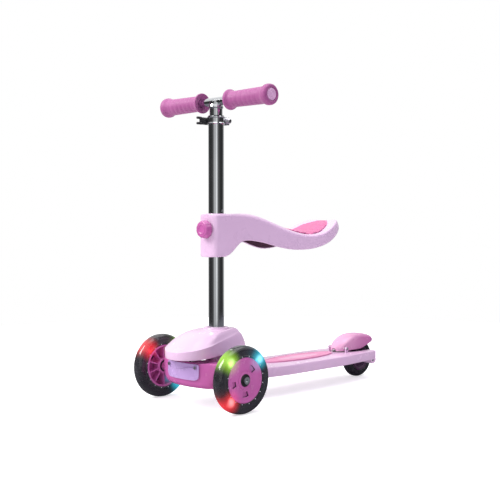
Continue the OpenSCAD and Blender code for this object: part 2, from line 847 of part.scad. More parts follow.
// Side view of the fender's outer face, closed along a level line below it
module fender_profile(y0, y1, drop, floor_z) {
    crown = [for (i = [0:fender_steps]) let(y = y0 + (y1 - y0) * i / fender_steps) [y, fender_z(y) - drop]];
    polygon(concat([[y0, floor_z]], crown, [[y1, floor_z]]));
}

module across(half) {
    rotate([90, 0, 90]) translate([0, 0, -half]) linear_extrude(2 * half) children();
}

module brake_fender() {
    inner_half = fender_half_w - fender_wall;
    color(magenta) difference() {
        union() {
            difference() {
                across(fender_half_w) fender_profile(fender_front_y, fender_end_y, 0, fender_foot_z);
                across(inner_half) fender_profile(fender_front_y + 6, fender_end_y + 5, fender_wall,
                    fender_foot_z - 9);
                translate([0, fender_skirt_end_y, 0]) fender_tail_cut();
            }
            for (side = [-1, 1]) on_side(side)
                bar_x(brake_boss_r - 0.8, spring_half + 1, fender_half_w - 1, brake_y, brake_z);
        }
        bar_x(brake_pin_r + running_fit, -60, 60, brake_y, brake_z);
    }
}

// Clears the sides below the tail, leaving a sheet of one thickness
module fender_tail_cut() {
    across(fender_half_w + 1) polygon([
        [0, fender_foot_z - 10], [2, fender_foot_z + 12], [10, fender_top - 8], [24, fender_top - 9.5],
        [36, fender_top - 14], [fender_end_y - fender_skirt_end_y - 8, fender_top - fender_tail_drop - 7],
        [60, fender_foot_z - 10]]);
}

module brake_pin() {
    reach = fender_half_w + clearance + brake_ear_t;
    color(steel) bar_x(brake_pin_r, -reach, reach, brake_y, brake_z);
}

module brake_spring() {
    color(steel) difference() {
        union() {
            bar_x(spring_r, -spring_half, spring_half, brake_y, brake_z);
            translate([-spring_half, brake_y - 9, deck_top]) cube([spring_wire, 9, spring_wire]);
            translate([-spring_half, brake_y - spring_r + 0.1, deck_top])
                cube([spring_wire, spring_wire, brake_z - deck_top]);
        }
        bar_x(brake_pin_r, -30, 30, brake_y, brake_z);
    }
}

module stem_tube() {
    color(chrome) difference() {
        translate([0, column_y, stem_bottom]) cylinder(r = stem_r, h = bar_z - stem_bottom);
        translate([0, column_y, stem_bottom - 1]) cylinder(r = stem_r - stem_wall, h = bar_z);
        bar_x(bar_r, -40, 40, column_y, bar_z);
        bar_x(button_r + running_fit, 0, 40, column_y, button_z);
    }
}

module crossbar() {
    color(chrome) ring_x(bar_r, bar_r - bar_wall, -bar_half_w + 3, bar_half_w - 3, column_y, bar_z);
}

// Foam grip with a flange at each end and ribs between
module grip(side) {
    outer_x = bar_half_w - 1;
    color(magenta) on_side(side) difference() {
        union() {
            bar_x(grip_flange_r, grip_inner_x, grip_inner_x + grip_inner_flange_t, column_y, bar_z);
            bar_x(grip_barrel_r - 1, grip_inner_x, outer_x, column_y, bar_z);
            bar_x(grip_flange_r, outer_x - grip_outer_flange_t, outer_x, column_y, bar_z);
            for (i = [0:7]) {
                rib_x = grip_inner_x + grip_inner_flange_t + 3 + 11.4 * i;
                bar_x(grip_barrel_r, rib_x, rib_x + 8.4, column_y, bar_z);
            }
        }
        bar_x(bar_r, 0, outer_x - 2, column_y, bar_z);
        bar_x(plug_r + 0.1, outer_x - plug_t + 0.5, outer_x + 5, column_y, bar_z);
    }
}

module left_grip() { grip(1); }
module right_grip() { grip(-1); }

module end_plug(side) {
    color("#ebbee1") on_side(side) {
        bar_x(plug_r, bar_half_w - plug_t, bar_half_w, column_y, bar_z);
        bar_x(bar_r - bar_wall, bar_half_w - plug_t - 12, bar_half_w - plug_t, column_y, bar_z);
    }
}

module left_end_plug() { end_plug(1); }
module right_end_plug() { end_plug(-1); }

// Leaf spring inside the stem that pushes the snap button out
module snap_spring() {
    inner_r = stem_r - stem_wall;
    color(steel) difference() {
        translate([0, column_y, button_z - 9]) cylinder(r = inner_r, h = 6);
        translate([0, column_y, button_z - 10]) cylinder(r = inner_r - 1.2, h = 20);
        translate([-40, column_y - 20, button_z - 10]) cube([40, 40, 20]);
    }
}

module snap_button() {
    color(chrome) bar_x(button_r, stem_r - stem_wall - 3, button_tip_x, column_y, button_z);
}

// Half width of the seat along Y
function seat_w(y) = y > seat_wide_y
    ? seat_half_w * sqrt(max(0, 1 - pow((y - seat_wide_y) / (seat_end_y - seat_wide_y), 2)))
    : seat_neck_half_w
        + (seat_half_w - seat_neck_half_w) * ease((y - seat_arch_y) / (seat_wide_y - seat_arch_y));
// Height of the upper edge of the seat's side
function seat_up(y) = y < seat_dip_y
    ? sweep_z(y, seat_neck_y, seat_top, seat_dip_y, seat_dip_z)
    : sweep_z(y, seat_dip_y, seat_dip_z, seat_end_y + 20, seat_rim_z + 4);
// Height of the lower edge of the seat's side
function seat_down(y) = y < seat_arch_y
    ? sweep_z(y, seat_foot_y, seat_bottom, seat_arch_y, seat_arch_z)
    : y < seat_low_y
        ? sweep_z(y, seat_arch_y, seat_arch_z, seat_low_y, seat_low_z)
        : sweep_z(y, seat_low_y, seat_low_z, seat_end_y + 40, seat_rim_bottom_z + 15);

// Closed sections along Y joined into one skin; wall insets the sides and the top
module seat_form(wall, y0, y1, floor_drop) {
    sections = [for (i = [0:seat_steps]) let(
            t = i / seat_steps,
            y = y0 + (y1 - y0) * sin(90 * t),
            w = max(seat_w(y + (y > seat_wide_y ? wall : 0)) - wall, 0.8),
            up = seat_up(y) - wall,
            down = min(seat_down(y), up - 6) - floor_drop)
        [[w, y, down], [w, y, up - 3], [w - 0.5, y, up - 1.2], [max(w - 4, 0.3), y, up],
         [-max(w - 4, 0.3), y, up], [-w + 0.5, y, up - 1.2], [-w, y, up - 3], [-w, y, down]]];
    n = 8;
    points = [for (s = sections) each s];
    sides = [for (i = [0:seat_steps - 1]) for (j = [0:n - 1]) each
        [[i * n + j, i * n + (j + 1) % n, (i + 1) * n + (j + 1) % n],
         [i * n + j, (i + 1) * n + (j + 1) % n, (i + 1) * n + j]]];
    front_cap = [for (j = [1:n - 2]) [0, j + 1, j]];
    last = seat_steps * n;
    rear_cap = [for (j = [1:n - 2]) [last, last + j, last + j + 1]];
    polyhedron(points, concat(sides, front_cap, rear_cap));
}

module seat_shell() {
    color(light_pink) difference() {
        union() {
            difference() {
                seat_form(0, seat_front_y, seat_end_y - 0.5, 0);
                seat_form(seat_wall, seat_front_y + seat_wall, seat_end_y - seat_wall - 1, 12);
            }
            translate([0, column_y, seat_bottom]) cylinder(r = sleeve_r + 3, h = seat_housing_h - 1);
            bar_y(lock_bush_r + 3, seat_front_y + 0.5, column_y - 12, 0, knob_z);
        }
        translate([0, column_y, seat_bottom - 10]) cylinder(r = sleeve_r, h = 120);
        bar_y(lock_bush_r, seat_front_y - 10, column_y, 0, knob_z);
        translate([0, 0, -seat_pad_sink]) seat_pad_form(0.3, 10);
        seat_screw_forms(10);
    }
}

// Oval cushion form that follows the dish of the seat
module seat_pad_form(grow, extra) {
    middle = (seat_pad_front_y + seat_pad_rear_y) / 2;
    half_l = (seat_pad_rear_y - seat_pad_front_y) / 2 + grow;
    sections = [for (i = [0:pad_steps]) let(
            y = middle - half_l * cos(180 * i / pad_steps) * 0.999,
            w = (seat_pad_half_w + grow) * max(sin(180 * i / pad_steps), 0.06),
            up = seat_up(y))
        [[w, y, up], [w, y, up + seat_pad_t + extra - 1], [w * 0.8, y, up + seat_pad_t + extra],
         [-w * 0.8, y, up + seat_pad_t + extra], [-w, y, up + seat_pad_t + extra - 1], [-w, y, up]]];
    m = 6;
    points = [for (s = sections) each s];
    sides = [for (i = [0:pad_steps - 1]) for (j = [0:m - 1]) each
        [[i * m + j, i * m + (j + 1) % m, (i + 1) * m + (j + 1) % m],
         [i * m + j, (i + 1) * m + (j + 1) % m, (i + 1) * m + j]]];
    front_cap = [for (j = [1:m - 2]) [0, j + 1, j]];
    last = pad_steps * m;
    rear_cap = [for (j = [1:m - 2]) [last, last + j, last + j + 1]];
    polyhedron(points, concat(sides, front_cap, rear_cap));
}

module seat_pad() {
    color(hot_pink) difference() {
        translate([0, 0, 0.05 - seat_pad_sink]) seat_pad_form(0, 0);
        seat_screw_forms(2);
    }
}

module seat_sleeve() {
    color(black) difference() {
        translate([0, column_y, seat_bottom + 1]) cylinder(r = sleeve_r, h = seat_housing_h - 2);
        translate([0, column_y, seat_bottom - 10]) cylinder(r = column_r + running_fit, h = 120);
        bar_y(lock_bush_r, seat_front_y - 10, column_y, 0, knob_z);
    }
}

// The two screws under the pad, with their heads of the given height
module seat_screw_forms(head_h) {
    for (y = seat_screw_places) translate([0, y, seat_up(y) - seat_wall - 0.6]) {
        translate([0, 0, -head_h]) cylinder(r = 4, h = head_h);
        cylinder(r = 1.6, h = seat_wall + 3);
    }
}

// Screws that hold the pad down from inside the saddle
module seat_pad_screws() {
    color(steel) seat_screw_forms(2);
}

// Threaded bush that the locking pin runs in
module seat_lock_bush() {
    color(steel) difference() {
        bar_y(lock_bush_r, seat_front_y, column_y - column_r - 0.8, 0, knob_z);
        bar_y(lock_pin_r + running_fit, seat_front_y - 10, column_y, 0, knob_z);
        bar_y(lock_pin_r + 1.8, column_y - column_r - 6.2, column_y, 0, knob_z);
    }
}

module seat_lock_pin() {
    color(steel) bar_y(lock_pin_r, seat_front_y - knob_length + 3, column_y - column_r - 0.3, 0, knob_z);
}

// Spring that pulls the locking pin onto the column
module seat_lock_spring() {
    color(steel) difference() {
        bar_y(lock_pin_r + 1.6, column_y - column_r - 6, column_y - column_r - 0.9, 0, knob_z);
        bar_y(lock_pin_r + 0.3, seat_front_y - 10, column_y, 0, knob_z);
    }
}

module seat_knob() {
    color(magenta) difference() {
        translate([0, seat_front_y - 0.5 - knob_length, knob_z]) rotate([-90, 0, 0])
            cylinder(r1 = knob_r - 2, r2 = knob_r, h = knob_length);
        bar_y(lock_pin_r + running_fit, seat_front_y - knob_length + 2.9, seat_front_y + 5, 0, knob_z);
    }
}

deck_shell();
deck_pad();
front_cover();
cover_screws();
column_tube();
column_bolt();
column_nut();
column_bushing();
collar_clamp();
clamp_rod();
clamp_nut();
kingpin();
kingpin_nut();
steering_bushings();
rear_axle();
rear_axle_nut();
rear_spacers();
brake_pin();
brake_spring();
truck_housing();
truck_plate();
truck_screws();
left_axle();
right_axle();
axle_nuts();
wheel_spacers();
wheel_magnets();
left_hub();
left_tyre();
left_bearings();
left_lights();
right_hub();
right_tyre();
right_bearings();
right_lights();
rear_hub();
rear_tyre();
rear_bearings();
brake_fender();
stem_tube();
crossbar();
left_grip();
right_grip();
left_end_plug();
right_end_plug();
snap_spring();
snap_button();
clamp_lever();
clamp_cam_pin();
seat_shell();
seat_pad();
seat_sleeve();
seat_pad_screws();
seat_lock_bush();
seat_lock_pin();
seat_lock_spring();
seat_knob();
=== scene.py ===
import math
import bmesh
import bpy
from mathutils import Matrix, Vector


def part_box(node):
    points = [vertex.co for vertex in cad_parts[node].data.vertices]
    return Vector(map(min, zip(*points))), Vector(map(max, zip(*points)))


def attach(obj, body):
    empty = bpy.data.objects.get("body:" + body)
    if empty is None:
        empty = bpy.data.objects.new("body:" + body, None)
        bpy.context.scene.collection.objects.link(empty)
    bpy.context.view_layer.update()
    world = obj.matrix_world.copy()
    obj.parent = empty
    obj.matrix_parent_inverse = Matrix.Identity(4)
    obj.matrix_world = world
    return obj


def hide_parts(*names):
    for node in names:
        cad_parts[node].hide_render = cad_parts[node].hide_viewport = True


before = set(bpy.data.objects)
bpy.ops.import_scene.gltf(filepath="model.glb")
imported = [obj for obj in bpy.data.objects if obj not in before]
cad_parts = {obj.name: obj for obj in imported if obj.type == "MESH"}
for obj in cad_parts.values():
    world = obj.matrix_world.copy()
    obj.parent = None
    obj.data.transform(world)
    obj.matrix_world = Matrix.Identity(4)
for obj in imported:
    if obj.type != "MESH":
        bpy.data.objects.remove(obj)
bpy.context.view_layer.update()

# Studio: a plain white floor, a soft even sky and two broad soft lamps, seen from the front left corner of
# the scooter at about the height of its seat. Shiny parts see a darker room with a bright wall, a narrow
# window and a pale ceiling.
scene = bpy.context.scene
scene.view_settings.view_transform = "Standard"
camera_data = bpy.data.cameras.new("camera")
camera_data.lens = 66.27
camera_data.sensor_width = 36.0
camera = bpy.data.objects.new("camera", camera_data)
camera.location = (1.2719, -1.2990, 0.3410)
camera.rotation_euler = (math.radians(88.0), 0, math.radians(46.28))
scene.collection.objects.link(camera)
scene.camera = camera


def node_in(tree, kind, **values):
    """A shader node, with its settings and its unlinked inputs filled in by name."""
    made = tree.nodes.new(kind)
    for name, value in values.items():
        if hasattr(made, name):
            setattr(made, name, value)
        else:
            made.inputs[name.replace("_", " ")].default_value = value
    return made


def wire(tree, source, output, target, entry):
    """Links an output of one node to an input of another, each by its name or number."""
    tree.links.new(source.outputs[output], target.inputs[entry])


def steps_ramp(tree, stops):
    """A smooth colour ramp, from pairs of place and grey or colour."""
    ramp = tree.nodes.new("ShaderNodeValToRGB")
    ramp.color_ramp.interpolation = "EASE"
    while len(ramp.color_ramp.elements) < len(stops):
        ramp.color_ramp.elements.new(0.5)
    for element, (place, grey) in zip(ramp.color_ramp.elements, stops):
        element.position = place
        element.color = (*grey, 1) if isinstance(grey, tuple) else (grey, grey, grey, 1)
    return ramp


world = bpy.data.worlds.new("studio")
world.use_nodes = True
scene.world = world
sky = world.node_tree
sky.nodes.clear()
sky_out = sky.nodes.new("ShaderNodeOutputWorld")
direction = sky.nodes.new("ShaderNodeTexCoord")
to_camera = node_in(sky, "ShaderNodeVectorMath", operation="DOT_PRODUCT")
to_camera.inputs[1].default_value = (0.673, -0.740, 0.0)
wire(sky, direction, "Generated", to_camera, 0)
facing = node_in(sky, "ShaderNodeMapRange", From_Min=-1.0, From_Max=1.0)
wire(sky, to_camera, "Value", facing, "Value")
direction_parts = sky.nodes.new("ShaderNodeSeparateXYZ")
wire(sky, direction, "Generated", direction_parts, 0)
height = node_in(sky, "ShaderNodeMapRange", From_Min=-0.2, From_Max=1.0)
wire(sky, direction_parts, "Z", height, "Value")
room = steps_ramp(sky, [(0.0, 0.60), (0.14, 0.30), (0.26, 0.03), (0.75, 0.04), (0.87, 0.09), (0.92, 0.16),
                        (0.945, 0.46), (1.0, 0.52)])
wire(sky, facing, "Result", room, "Fac")
lid = steps_ramp(sky, [(0.0, 0.0), (0.30, 0.0), (0.62, 0.75), (1.0, 1.0)])
wire(sky, height, "Result", lid, "Fac")
window = node_in(sky, "ShaderNodeVectorMath", operation="DOT_PRODUCT")
window.inputs[1].default_value = (0.812, -0.584, 0.0)
wire(sky, direction, "Generated", window, 0)
window_light = node_in(sky, "ShaderNodeMapRange", From_Min=0.988, From_Max=0.997, To_Min=0.0, To_Max=0.85)
wire(sky, window, "Value", window_light, "Value")
walls = node_in(sky, "ShaderNodeMix", data_type="RGBA", blend_type="ADD")
walls.inputs["Factor"].default_value = 1.0
wire(sky, room, "Color", walls, "A")
wire(sky, window_light, "Result", walls, "B")
mirrored = node_in(sky, "ShaderNodeMix", data_type="RGBA", blend_type="ADD", clamp_result=True)
mirrored.inputs["Factor"].default_value = 1.0
wire(sky, walls, "Result", mirrored, "A")
wire(sky, lid, "Color", mirrored, "B")
soft_light = steps_ramp(sky, [(0.0, (0.70, 0.70, 0.74)), (0.4, (0.70, 0.69, 0.76)), (1.0, (0.88, 0.86, 0.89))])
wire(sky, height, "Result", soft_light, "Fac")
from_left = node_in(sky, "ShaderNodeMapRange", interpolation_type="SMOOTHSTEP", From_Min=0.0, From_Max=0.8)
wire(sky, direction_parts, "X", from_left, "Value")
dimmed = node_in(sky, "ShaderNodeMix", data_type="RGBA")
wire(sky, from_left, "Result", dimmed, "Factor")
wire(sky, soft_light, "Color", dimmed, "A")
dimmed.inputs["B"].default_value = (0.42, 0.37, 0.52, 1)
path = sky.nodes.new("ShaderNodeLightPath")
shiny = node_in(sky, "ShaderNodeMix", data_type="RGBA")
wire(sky, path, "Is Glossy Ray", shiny, "Factor")
wire(sky, dimmed, "Result", shiny, "A")
wire(sky, mirrored, "Result", shiny, "B")
seen = node_in(sky, "ShaderNodeMix", data_type="RGBA")
seen.inputs["B"].default_value = (1, 1, 1, 1)
wire(sky, path, "Is Camera Ray", seen, "Factor")
wire(sky, shiny, "Result", seen, "A")
sky_light = node_in(sky, "ShaderNodeBackground", Strength=1.0)
wire(sky, seen, "Result", sky_light, "Color")
wire(sky, sky_light, 0, sky_out, "Surface")


def soft_lamp(name, place, aim, size, power, tint):
    """A broad rectangular lamp at a place, turned towards what it lights."""
    data = bpy.data.lights.new(name, "AREA")
    data.shape = "RECTANGLE"
    data.size, data.size_y = size
    data.energy = power
    data.color = tint
    lamp = bpy.data.objects.new(name, data)
    lamp.location = place
    lamp.rotation_euler = (Vector(aim) - Vector(place)).to_track_quat("-Z", "Y").to_euler()
    scene.collection.objects.link(lamp)


soft_lamp("key_lamp", (-1.5, -2.2, 2.3), (0, -0.05, 0.25), (1.6, 1.6), 84, (1.0, 0.98, 0.97))
soft_lamp("top_lamp", (0.3, 0.2, 2.6), (0, 0, 0.2), (2.4, 2.4), 38, (1.0, 0.98, 1.0))

floor_r = 1.35
floor_bm = bmesh.new()
bmesh.ops.create_circle(floor_bm, cap_ends=True, segments=64, radius=floor_r)
floor_mesh = bpy.data.meshes.new("studio_floor")
floor_bm.to_mesh(floor_mesh)
floor_bm.free()
studio_floor = bpy.data.objects.new("studio_floor", floor_mesh)
scene.collection.objects.link(studio_floor)
floor_paint = bpy.data.materials.new("studio_floor")
floor_paint.use_nodes = True
floor_tree = floor_paint.node_tree
floor_shader = floor_tree.nodes["Principled BSDF"]
floor_shader.inputs["Roughness"].default_value = 0.7
floor_shader.inputs["Specular IOR Level"].default_value = 0.1
floor_path = floor_tree.nodes.new("ShaderNodeLightPath")
floor_seen = node_in(floor_tree, "ShaderNodeMix", data_type="RGBA")
floor_seen.inputs["A"].default_value = (0.02, 0.02, 0.025, 1)
floor_seen.inputs["B"].default_value = (0.60, 0.60, 0.60, 1)
wire(floor_tree, floor_path, "Is Camera Ray", floor_seen, "Factor")
wire(floor_tree, floor_seen, "Result", floor_shader, "Emission Color")
floor_shader.inputs["Emission Strength"].default_value = 1.0
floor_base = node_in(floor_tree, "ShaderNodeMix", data_type="RGBA")
floor_base.inputs["A"].default_value = (0.8, 0.8, 0.8, 1)
floor_base.inputs["B"].default_value = (0.10, 0.10, 0.11, 1)
wire(floor_tree, floor_path, "Is Glossy Ray", floor_base, "Factor")
wire(floor_tree, floor_base, "Result", floor_shader, "Base Color")
floor_mesh.materials.append(floor_paint)

# Column, sliding stem and crossbar: steel tube, polished and chrome plated, with the faint haze that hands
# leave. The tubes are the machined parts themselves; only a bead of weld is added where the stem meets the
# crossbar.


def values_group(name, inputs, outputs):
    """A new shader node group with typed sockets; gives the group, its input node and its output node."""
    group = bpy.data.node_groups.new(name, "ShaderNodeTree")
    kinds = {"f": "NodeSocketFloat", "c": "NodeSocketColor", "v": "NodeSocketVector"}
    for label, kind in inputs:
        group.interface.new_socket(name=label, in_out="INPUT", socket_type=kinds[kind])
    for label, kind in outputs:
        group.interface.new_socket(name=label, in_out="OUTPUT", socket_type=kinds[kind])
    return group, group.nodes.new("NodeGroupInput"), group.nodes.new("NodeGroupOutput")


# Worn surface: a slow mottle between two colours, scuffs that change the gloss, and a fine grain for the
# bump.
worn, worn_in, worn_out = values_group(
    "worn_surface",
    [("Colour", "c"), ("Second Colour", "c"), ("Mottle Scale", "f"), ("Gloss Low", "f"), ("Gloss High", "f"),
     ("Scuff Scale", "f"), ("Grain Scale", "f"), ("Grain Stretch", "v")],
    [("Colour", "c"), ("Roughness", "f"), ("Grain", "f")])
worn_place = worn.nodes.new("ShaderNodeTexCoord")
mottle = node_in(worn, "ShaderNodeTexNoise", Detail=3.0, Roughness=0.5)
wire(worn, worn_place, "Object", mottle, "Vector")
wire(worn, worn_in, "Mottle Scale", mottle, "Scale")
mottle_range = node_in(worn, "ShaderNodeMapRange", From_Min=0.35, From_Max=0.65)
wire(worn, mottle, "Fac", mottle_range, "Value")
mottled = node_in(worn, "ShaderNodeMix", data_type="RGBA")
wire(worn, mottle_range, "Result", mottled, "Factor")
wire(worn, worn_in, "Colour", mottled, "A")
wire(worn, worn_in, "Second Colour", mottled, "B")
wire(worn, mottled, "Result", worn_out, "Colour")
scuff = node_in(worn, "ShaderNodeTexNoise", Detail=4.0, Roughness=0.6, Distortion=0.15)
wire(worn, worn_place, "Object", scuff, "Vector")
wire(worn, worn_in, "Scuff Scale", scuff, "Scale")
scuff_range = node_in(worn, "ShaderNodeMapRange", From_Min=0.4, From_Max=0.72)
wire(worn, scuff, "Fac", scuff_range, "Value")
wire(worn, worn_in, "Gloss Low", scuff_range, "To Min")
wire(worn, worn_in, "Gloss High", scuff_range, "To Max")
wire(worn, scuff_range, "Result", worn_out, "Roughness")
stretch = node_in(worn, "ShaderNodeVectorMath", operation="MULTIPLY")
wire(worn, worn_place, "Object", stretch, 0)
wire(worn, worn_in, "Grain Stretch", stretch, 1)
grain = node_in(worn, "ShaderNodeTexNoise", Detail=2.0, Roughness=0.6)
wire(worn, stretch, 0, grain, "Vector")
wire(worn, worn_in, "Grain Scale", grain, "Scale")
wire(worn, grain, "Fac", worn_out, "Grain")


def surface(name, colour, second, gloss, scales, bump, stretch_by=(1, 1, 1), **sockets):
    """A material: colour, gloss and bump from the worn surface group, other sockets set on its shader."""
    material = bpy.data.materials.new(name)
    material.use_nodes = True
    tree = material.node_tree
    shader = tree.nodes["Principled BSDF"]
    wear = tree.nodes.new("ShaderNodeGroup")
    wear.node_tree = worn
    wear.inputs["Colour"].default_value = (*colour, 1)
    wear.inputs["Second Colour"].default_value = (*second, 1)
    wear.inputs["Gloss Low"].default_value, wear.inputs["Gloss High"].default_value = gloss
    for label, scale in zip(("Mottle Scale", "Scuff Scale", "Grain Scale"), scales):
        wear.inputs[label].default_value = scale
    wear.inputs["Grain Stretch"].default_value = stretch_by
    wire(tree, wear, "Colour", shader, "Base Color")
    wire(tree, wear, "Roughness", shader, "Roughness")
    relief = node_in(tree, "ShaderNodeBump", Strength=bump, Distance=0.0004)
    wire(tree, wear, "Grain", relief, "Height")
    wire(tree, relief, "Normal", shader, "Normal")
    for label, value in sockets.items():
        shader.inputs[label.replace("_", " ")].default_value = value
    return material


def cover_nodes(material, *names):
    """Gives CAD parts, shown as they are, their finish."""
    for name in names:
        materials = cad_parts[name].data.materials
        materials.clear()
        materials.append(material)


chrome = surface("chrome", (0.78, 0.80, 0.82), (0.70, 0.72, 0.75), (0.06, 0.13), (9.0, 26.0, 900.0), 0.012,
                 (1, 1, 0.04), Metallic=1.0)
zinc = surface("zinc_plate", (0.50, 0.51, 0.53), (0.40, 0.41, 0.44), (0.25, 0.45), (60.0, 120.0, 1500.0), 0.2,
               Metallic=1.0)
nylon = surface("black_nylon", (0.022, 0.022, 0.025), (0.035, 0.035, 0.04), (0.35, 0.55), (40.0, 90.0, 2500.0),
                0.25)
cover_nodes(chrome, "column_tube", "stem_tube", "crossbar", "snap_button")
cover_nodes(nylon, "column_bushing", "seat_sleeve")
cover_nodes(zinc, "column_bolt", "column_nut", "cover_screws", "kingpin", "kingpin_nut", "rear_spacers",
            "brake_pin", "brake_spring", "axle_nuts", "wheel_spacers", "snap_spring", "clamp_cam_pin",
            "seat_pad_screws", "seat_lock_bush", "seat_lock_pin", "seat_lock_spring", "rear_axle_nut",
            "clamp_rod")


def box_mm(node):
    """Lowest and highest corner of a CAD part's box, in millimetres."""
    return [corner * 1000 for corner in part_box(node)]


def middle_mm(node):
    """Centre of a CAD part's box, in millimetres."""
    low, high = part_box(node)
    return (low + high) * 500


def half_mm(node):
    """Half the size of a CAD part's box, in millimetres."""
    low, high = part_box(node)
    return (high - low) * 500


def place_piece(bm, name, material, body, sharp=35, clean=True):
    """Turns a bmesh drawn in millimetres into a piece in metres that rides on a body."""
    if clean:
        bmesh.ops.remove_doubles(bm, verts=bm.verts, dist=0.0005)
        bmesh.ops.recalc_face_normals(bm, faces=bm.faces)
    bmesh.ops.scale(bm, vec=(0.001, 0.001, 0.001), verts=bm.verts)
    mesh = bpy.data.meshes.new(name)
    bm.to_mesh(mesh)
    bm.free()
    mesh.shade_smooth()
    mesh.set_sharp_from_angle(angle=math.radians(sharp))
    mesh.materials.append(material)
    piece = bpy.data.objects.new(name, mesh)
    scene.collection.objects.link(piece)
    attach(piece, body)
    return piece


def ringed(bm, verts):
    """Joins vertices in a closed row; gives its edges."""
    return [bm.edges.new(pair) for pair in zip(verts, verts[1:] + verts[:1])]


def turned(bm, profile, centre, axis, steps=64):
    """Spins a closed profile of (radius, place along the axis) round an axis through centre."""
    axis = Vector(axis)
    side = Vector((0, 0, 1)) if abs(axis.z) < 0.9 else Vector((1, 0, 0))
    side = (side - axis * side.dot(axis)).normalized()
    verts = [bm.verts.new(Vector(centre) + side * r + axis * t) for r, t in profile]
    bmesh.ops.spin(bm, geom=verts + ringed(bm, verts), cent=centre, axis=axis, angle=math.tau, steps=steps,
                   use_merge=True, use_duplicate=False)


bar_middle = middle_mm("crossbar")
stem_r = half_mm("stem_tube").x
weld_bm = bmesh.new()
weld_drop = 7.8
weld_z = bar_middle.z - weld_drop
turned(weld_bm, [(stem_r + 0.2, -5.5), (stem_r + 1.1, -4.6), (stem_r + 1.5, -3.2), (stem_r + 1.1, -1.4),
                 (stem_r + 0.2, 2.4), (stem_r - 1.0, 2.4), (stem_r - 1.0, -5.5)], (0, bar_middle.y, weld_z),
       (0, 0, 1))
weld = place_piece(weld_bm, "stem_weld", chrome, "handlebar")

# Grips: soft foam sleeves pushed onto the crossbar, with a dished flange at the inner end, a waist with
# shallow rings and a fat rounded flange outside. A hard plug with plain moulded rings closes each end.
foam = surface("grip_foam", (0.40, 0.085, 0.28), (0.36, 0.07, 0.25), (0.5, 0.68), (22.0, 60.0, 1500.0), 0.3,
               Sheen_Weight=0.25, Sheen_Roughness=0.5)
plug_plastic = surface("plug_plastic", (0.80, 0.50, 0.70), (0.74, 0.43, 0.66), (0.22, 0.38),
                       (40.0, 90.0, 2200.0), 0.12)
bar_y, bar_z = bar_middle.y, bar_middle.z
grip_profile = [(8.2, 40.5), (12.5, 39.9), (15.5, 38.2), (17.2, 36.9), (18.3, 37.1), (18.8, 38.4), (18.6, 40.4),
                (17.6, 42.6), (16.0, 44.3), (14.9, 46.0), (14.3, 48.5), (14.2, 52.0)]
for ring_x in (58.0, 70.0, 82.0, 94.0, 106.0, 118.0):
    swell = 0.012 * (ring_x - 50)
    grip_profile += [(14.5 + swell, ring_x - 1.6), (14.15 + swell, ring_x - 0.5),
                     (14.15 + swell, ring_x + 0.5), (14.5 + swell, ring_x + 1.6)]
grip_profile += [(15.3, 124.0), (15.7, 128.0), (17.0, 131.5), (18.3, 134.2), (18.7, 137.5), (18.6, 140.5),
                 (17.8, 143.2), (16.2, 145.0), (13.9, 145.7), (12.2, 145.2), (11.2, 143.9), (11.0, 142.6),
                 (8.2, 142.4)]
plug_profile = [(0.01, 145.0), (3.2, 145.0), (3.5, 145.3), (4.1, 145.3), (4.4, 145.0), (6.9, 145.0),
                (7.2, 145.4), (8.0, 145.4), (8.3, 145.1), (9.3, 145.2), (10.2, 145.0), (10.7, 144.2),
                (10.75, 141.5), (0.01, 141.5)]
for side, word in ((1, "left"), (-1, "right")):
    grip_bm = bmesh.new()
    turned(grip_bm, grip_profile, (0, bar_y, bar_z), (side, 0, 0), steps=72)
    grip = place_piece(grip_bm, f"{word}_foam_grip", foam, "handlebar", sharp=60)
    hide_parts(f"{word}_grip")
    plug_bm = bmesh.new()
    turned(plug_bm, plug_profile, (0, bar_y, bar_z), (side, 0, 0), steps=48)
    plug = place_piece(plug_bm, f"{word}_grip_plug", plug_plastic, "handlebar", sharp=28)
    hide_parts(f"{word}_end_plug")

# Collar clamp: a pressed and plated steel band with two raised beads and a pair of ears, drawn together by a
# rod with an acorn nut on one side and a cam lever on the other. The lever is moulded nylon, ribbed for the
# thumb and forked.
clamp_low, clamp_high = box_mm("collar_clamp")
column_y = middle_mm("column_tube").y
column_r = half_mm("column_tube").x
band_bm = bmesh.new()
band_mid = (clamp_low.z + clamp_high.z) / 2
band_half = (clamp_high.z - clamp_low.z) / 2
band_profile = [(column_r + 0.02, -band_half), (column_r + 1.0, -band_half), (column_r + 1.9, -band_half + 0.8),
                (column_r + 1.9, -band_half + 2.2), (column_r + 1.1, -band_half + 3.2),
                (column_r + 1.1, band_half - 3.2), (column_r + 1.9, band_half - 2.2),
                (column_r + 1.9, band_half - 0.8), (column_r + 1.0, band_half), (column_r + 0.02, band_half)]
half_gap = math.radians(7)
verts = [band_bm.verts.new((r * math.sin(half_gap), column_y + r * math.cos(half_gap), band_mid + t))
         for r, t in band_profile]
bmesh.ops.spin(band_bm, geom=verts + ringed(band_bm, verts), cent=(0, column_y, band_mid), axis=(0, 0, -1),
               angle=math.tau - 2 * half_gap, steps=72, use_duplicate=False)
bmesh.ops.holes_fill(band_bm, edges=band_bm.edges)
rod_z = middle_mm("clamp_rod").z
rod_y = middle_mm("clamp_nut").y


def box_piece(bm, low, high, bevel=0.0, segments=2):
    """A box between two corners; bevel eases its edges."""
    size = Vector(high) - Vector(low)
    made = bmesh.ops.create_cube(bm, size=1.0)["verts"]
    bmesh.ops.scale(bm, vec=size, verts=made)
    bmesh.ops.translate(bm, vec=(Vector(low) + Vector(high)) / 2, verts=made)
    if bevel:
        edges = list({e for v in made for e in v.link_edges})
        bmesh.ops.bevel(bm, geom=edges, offset=bevel, segments=segments, profile=0.5, affect="EDGES",
                        material=-1)


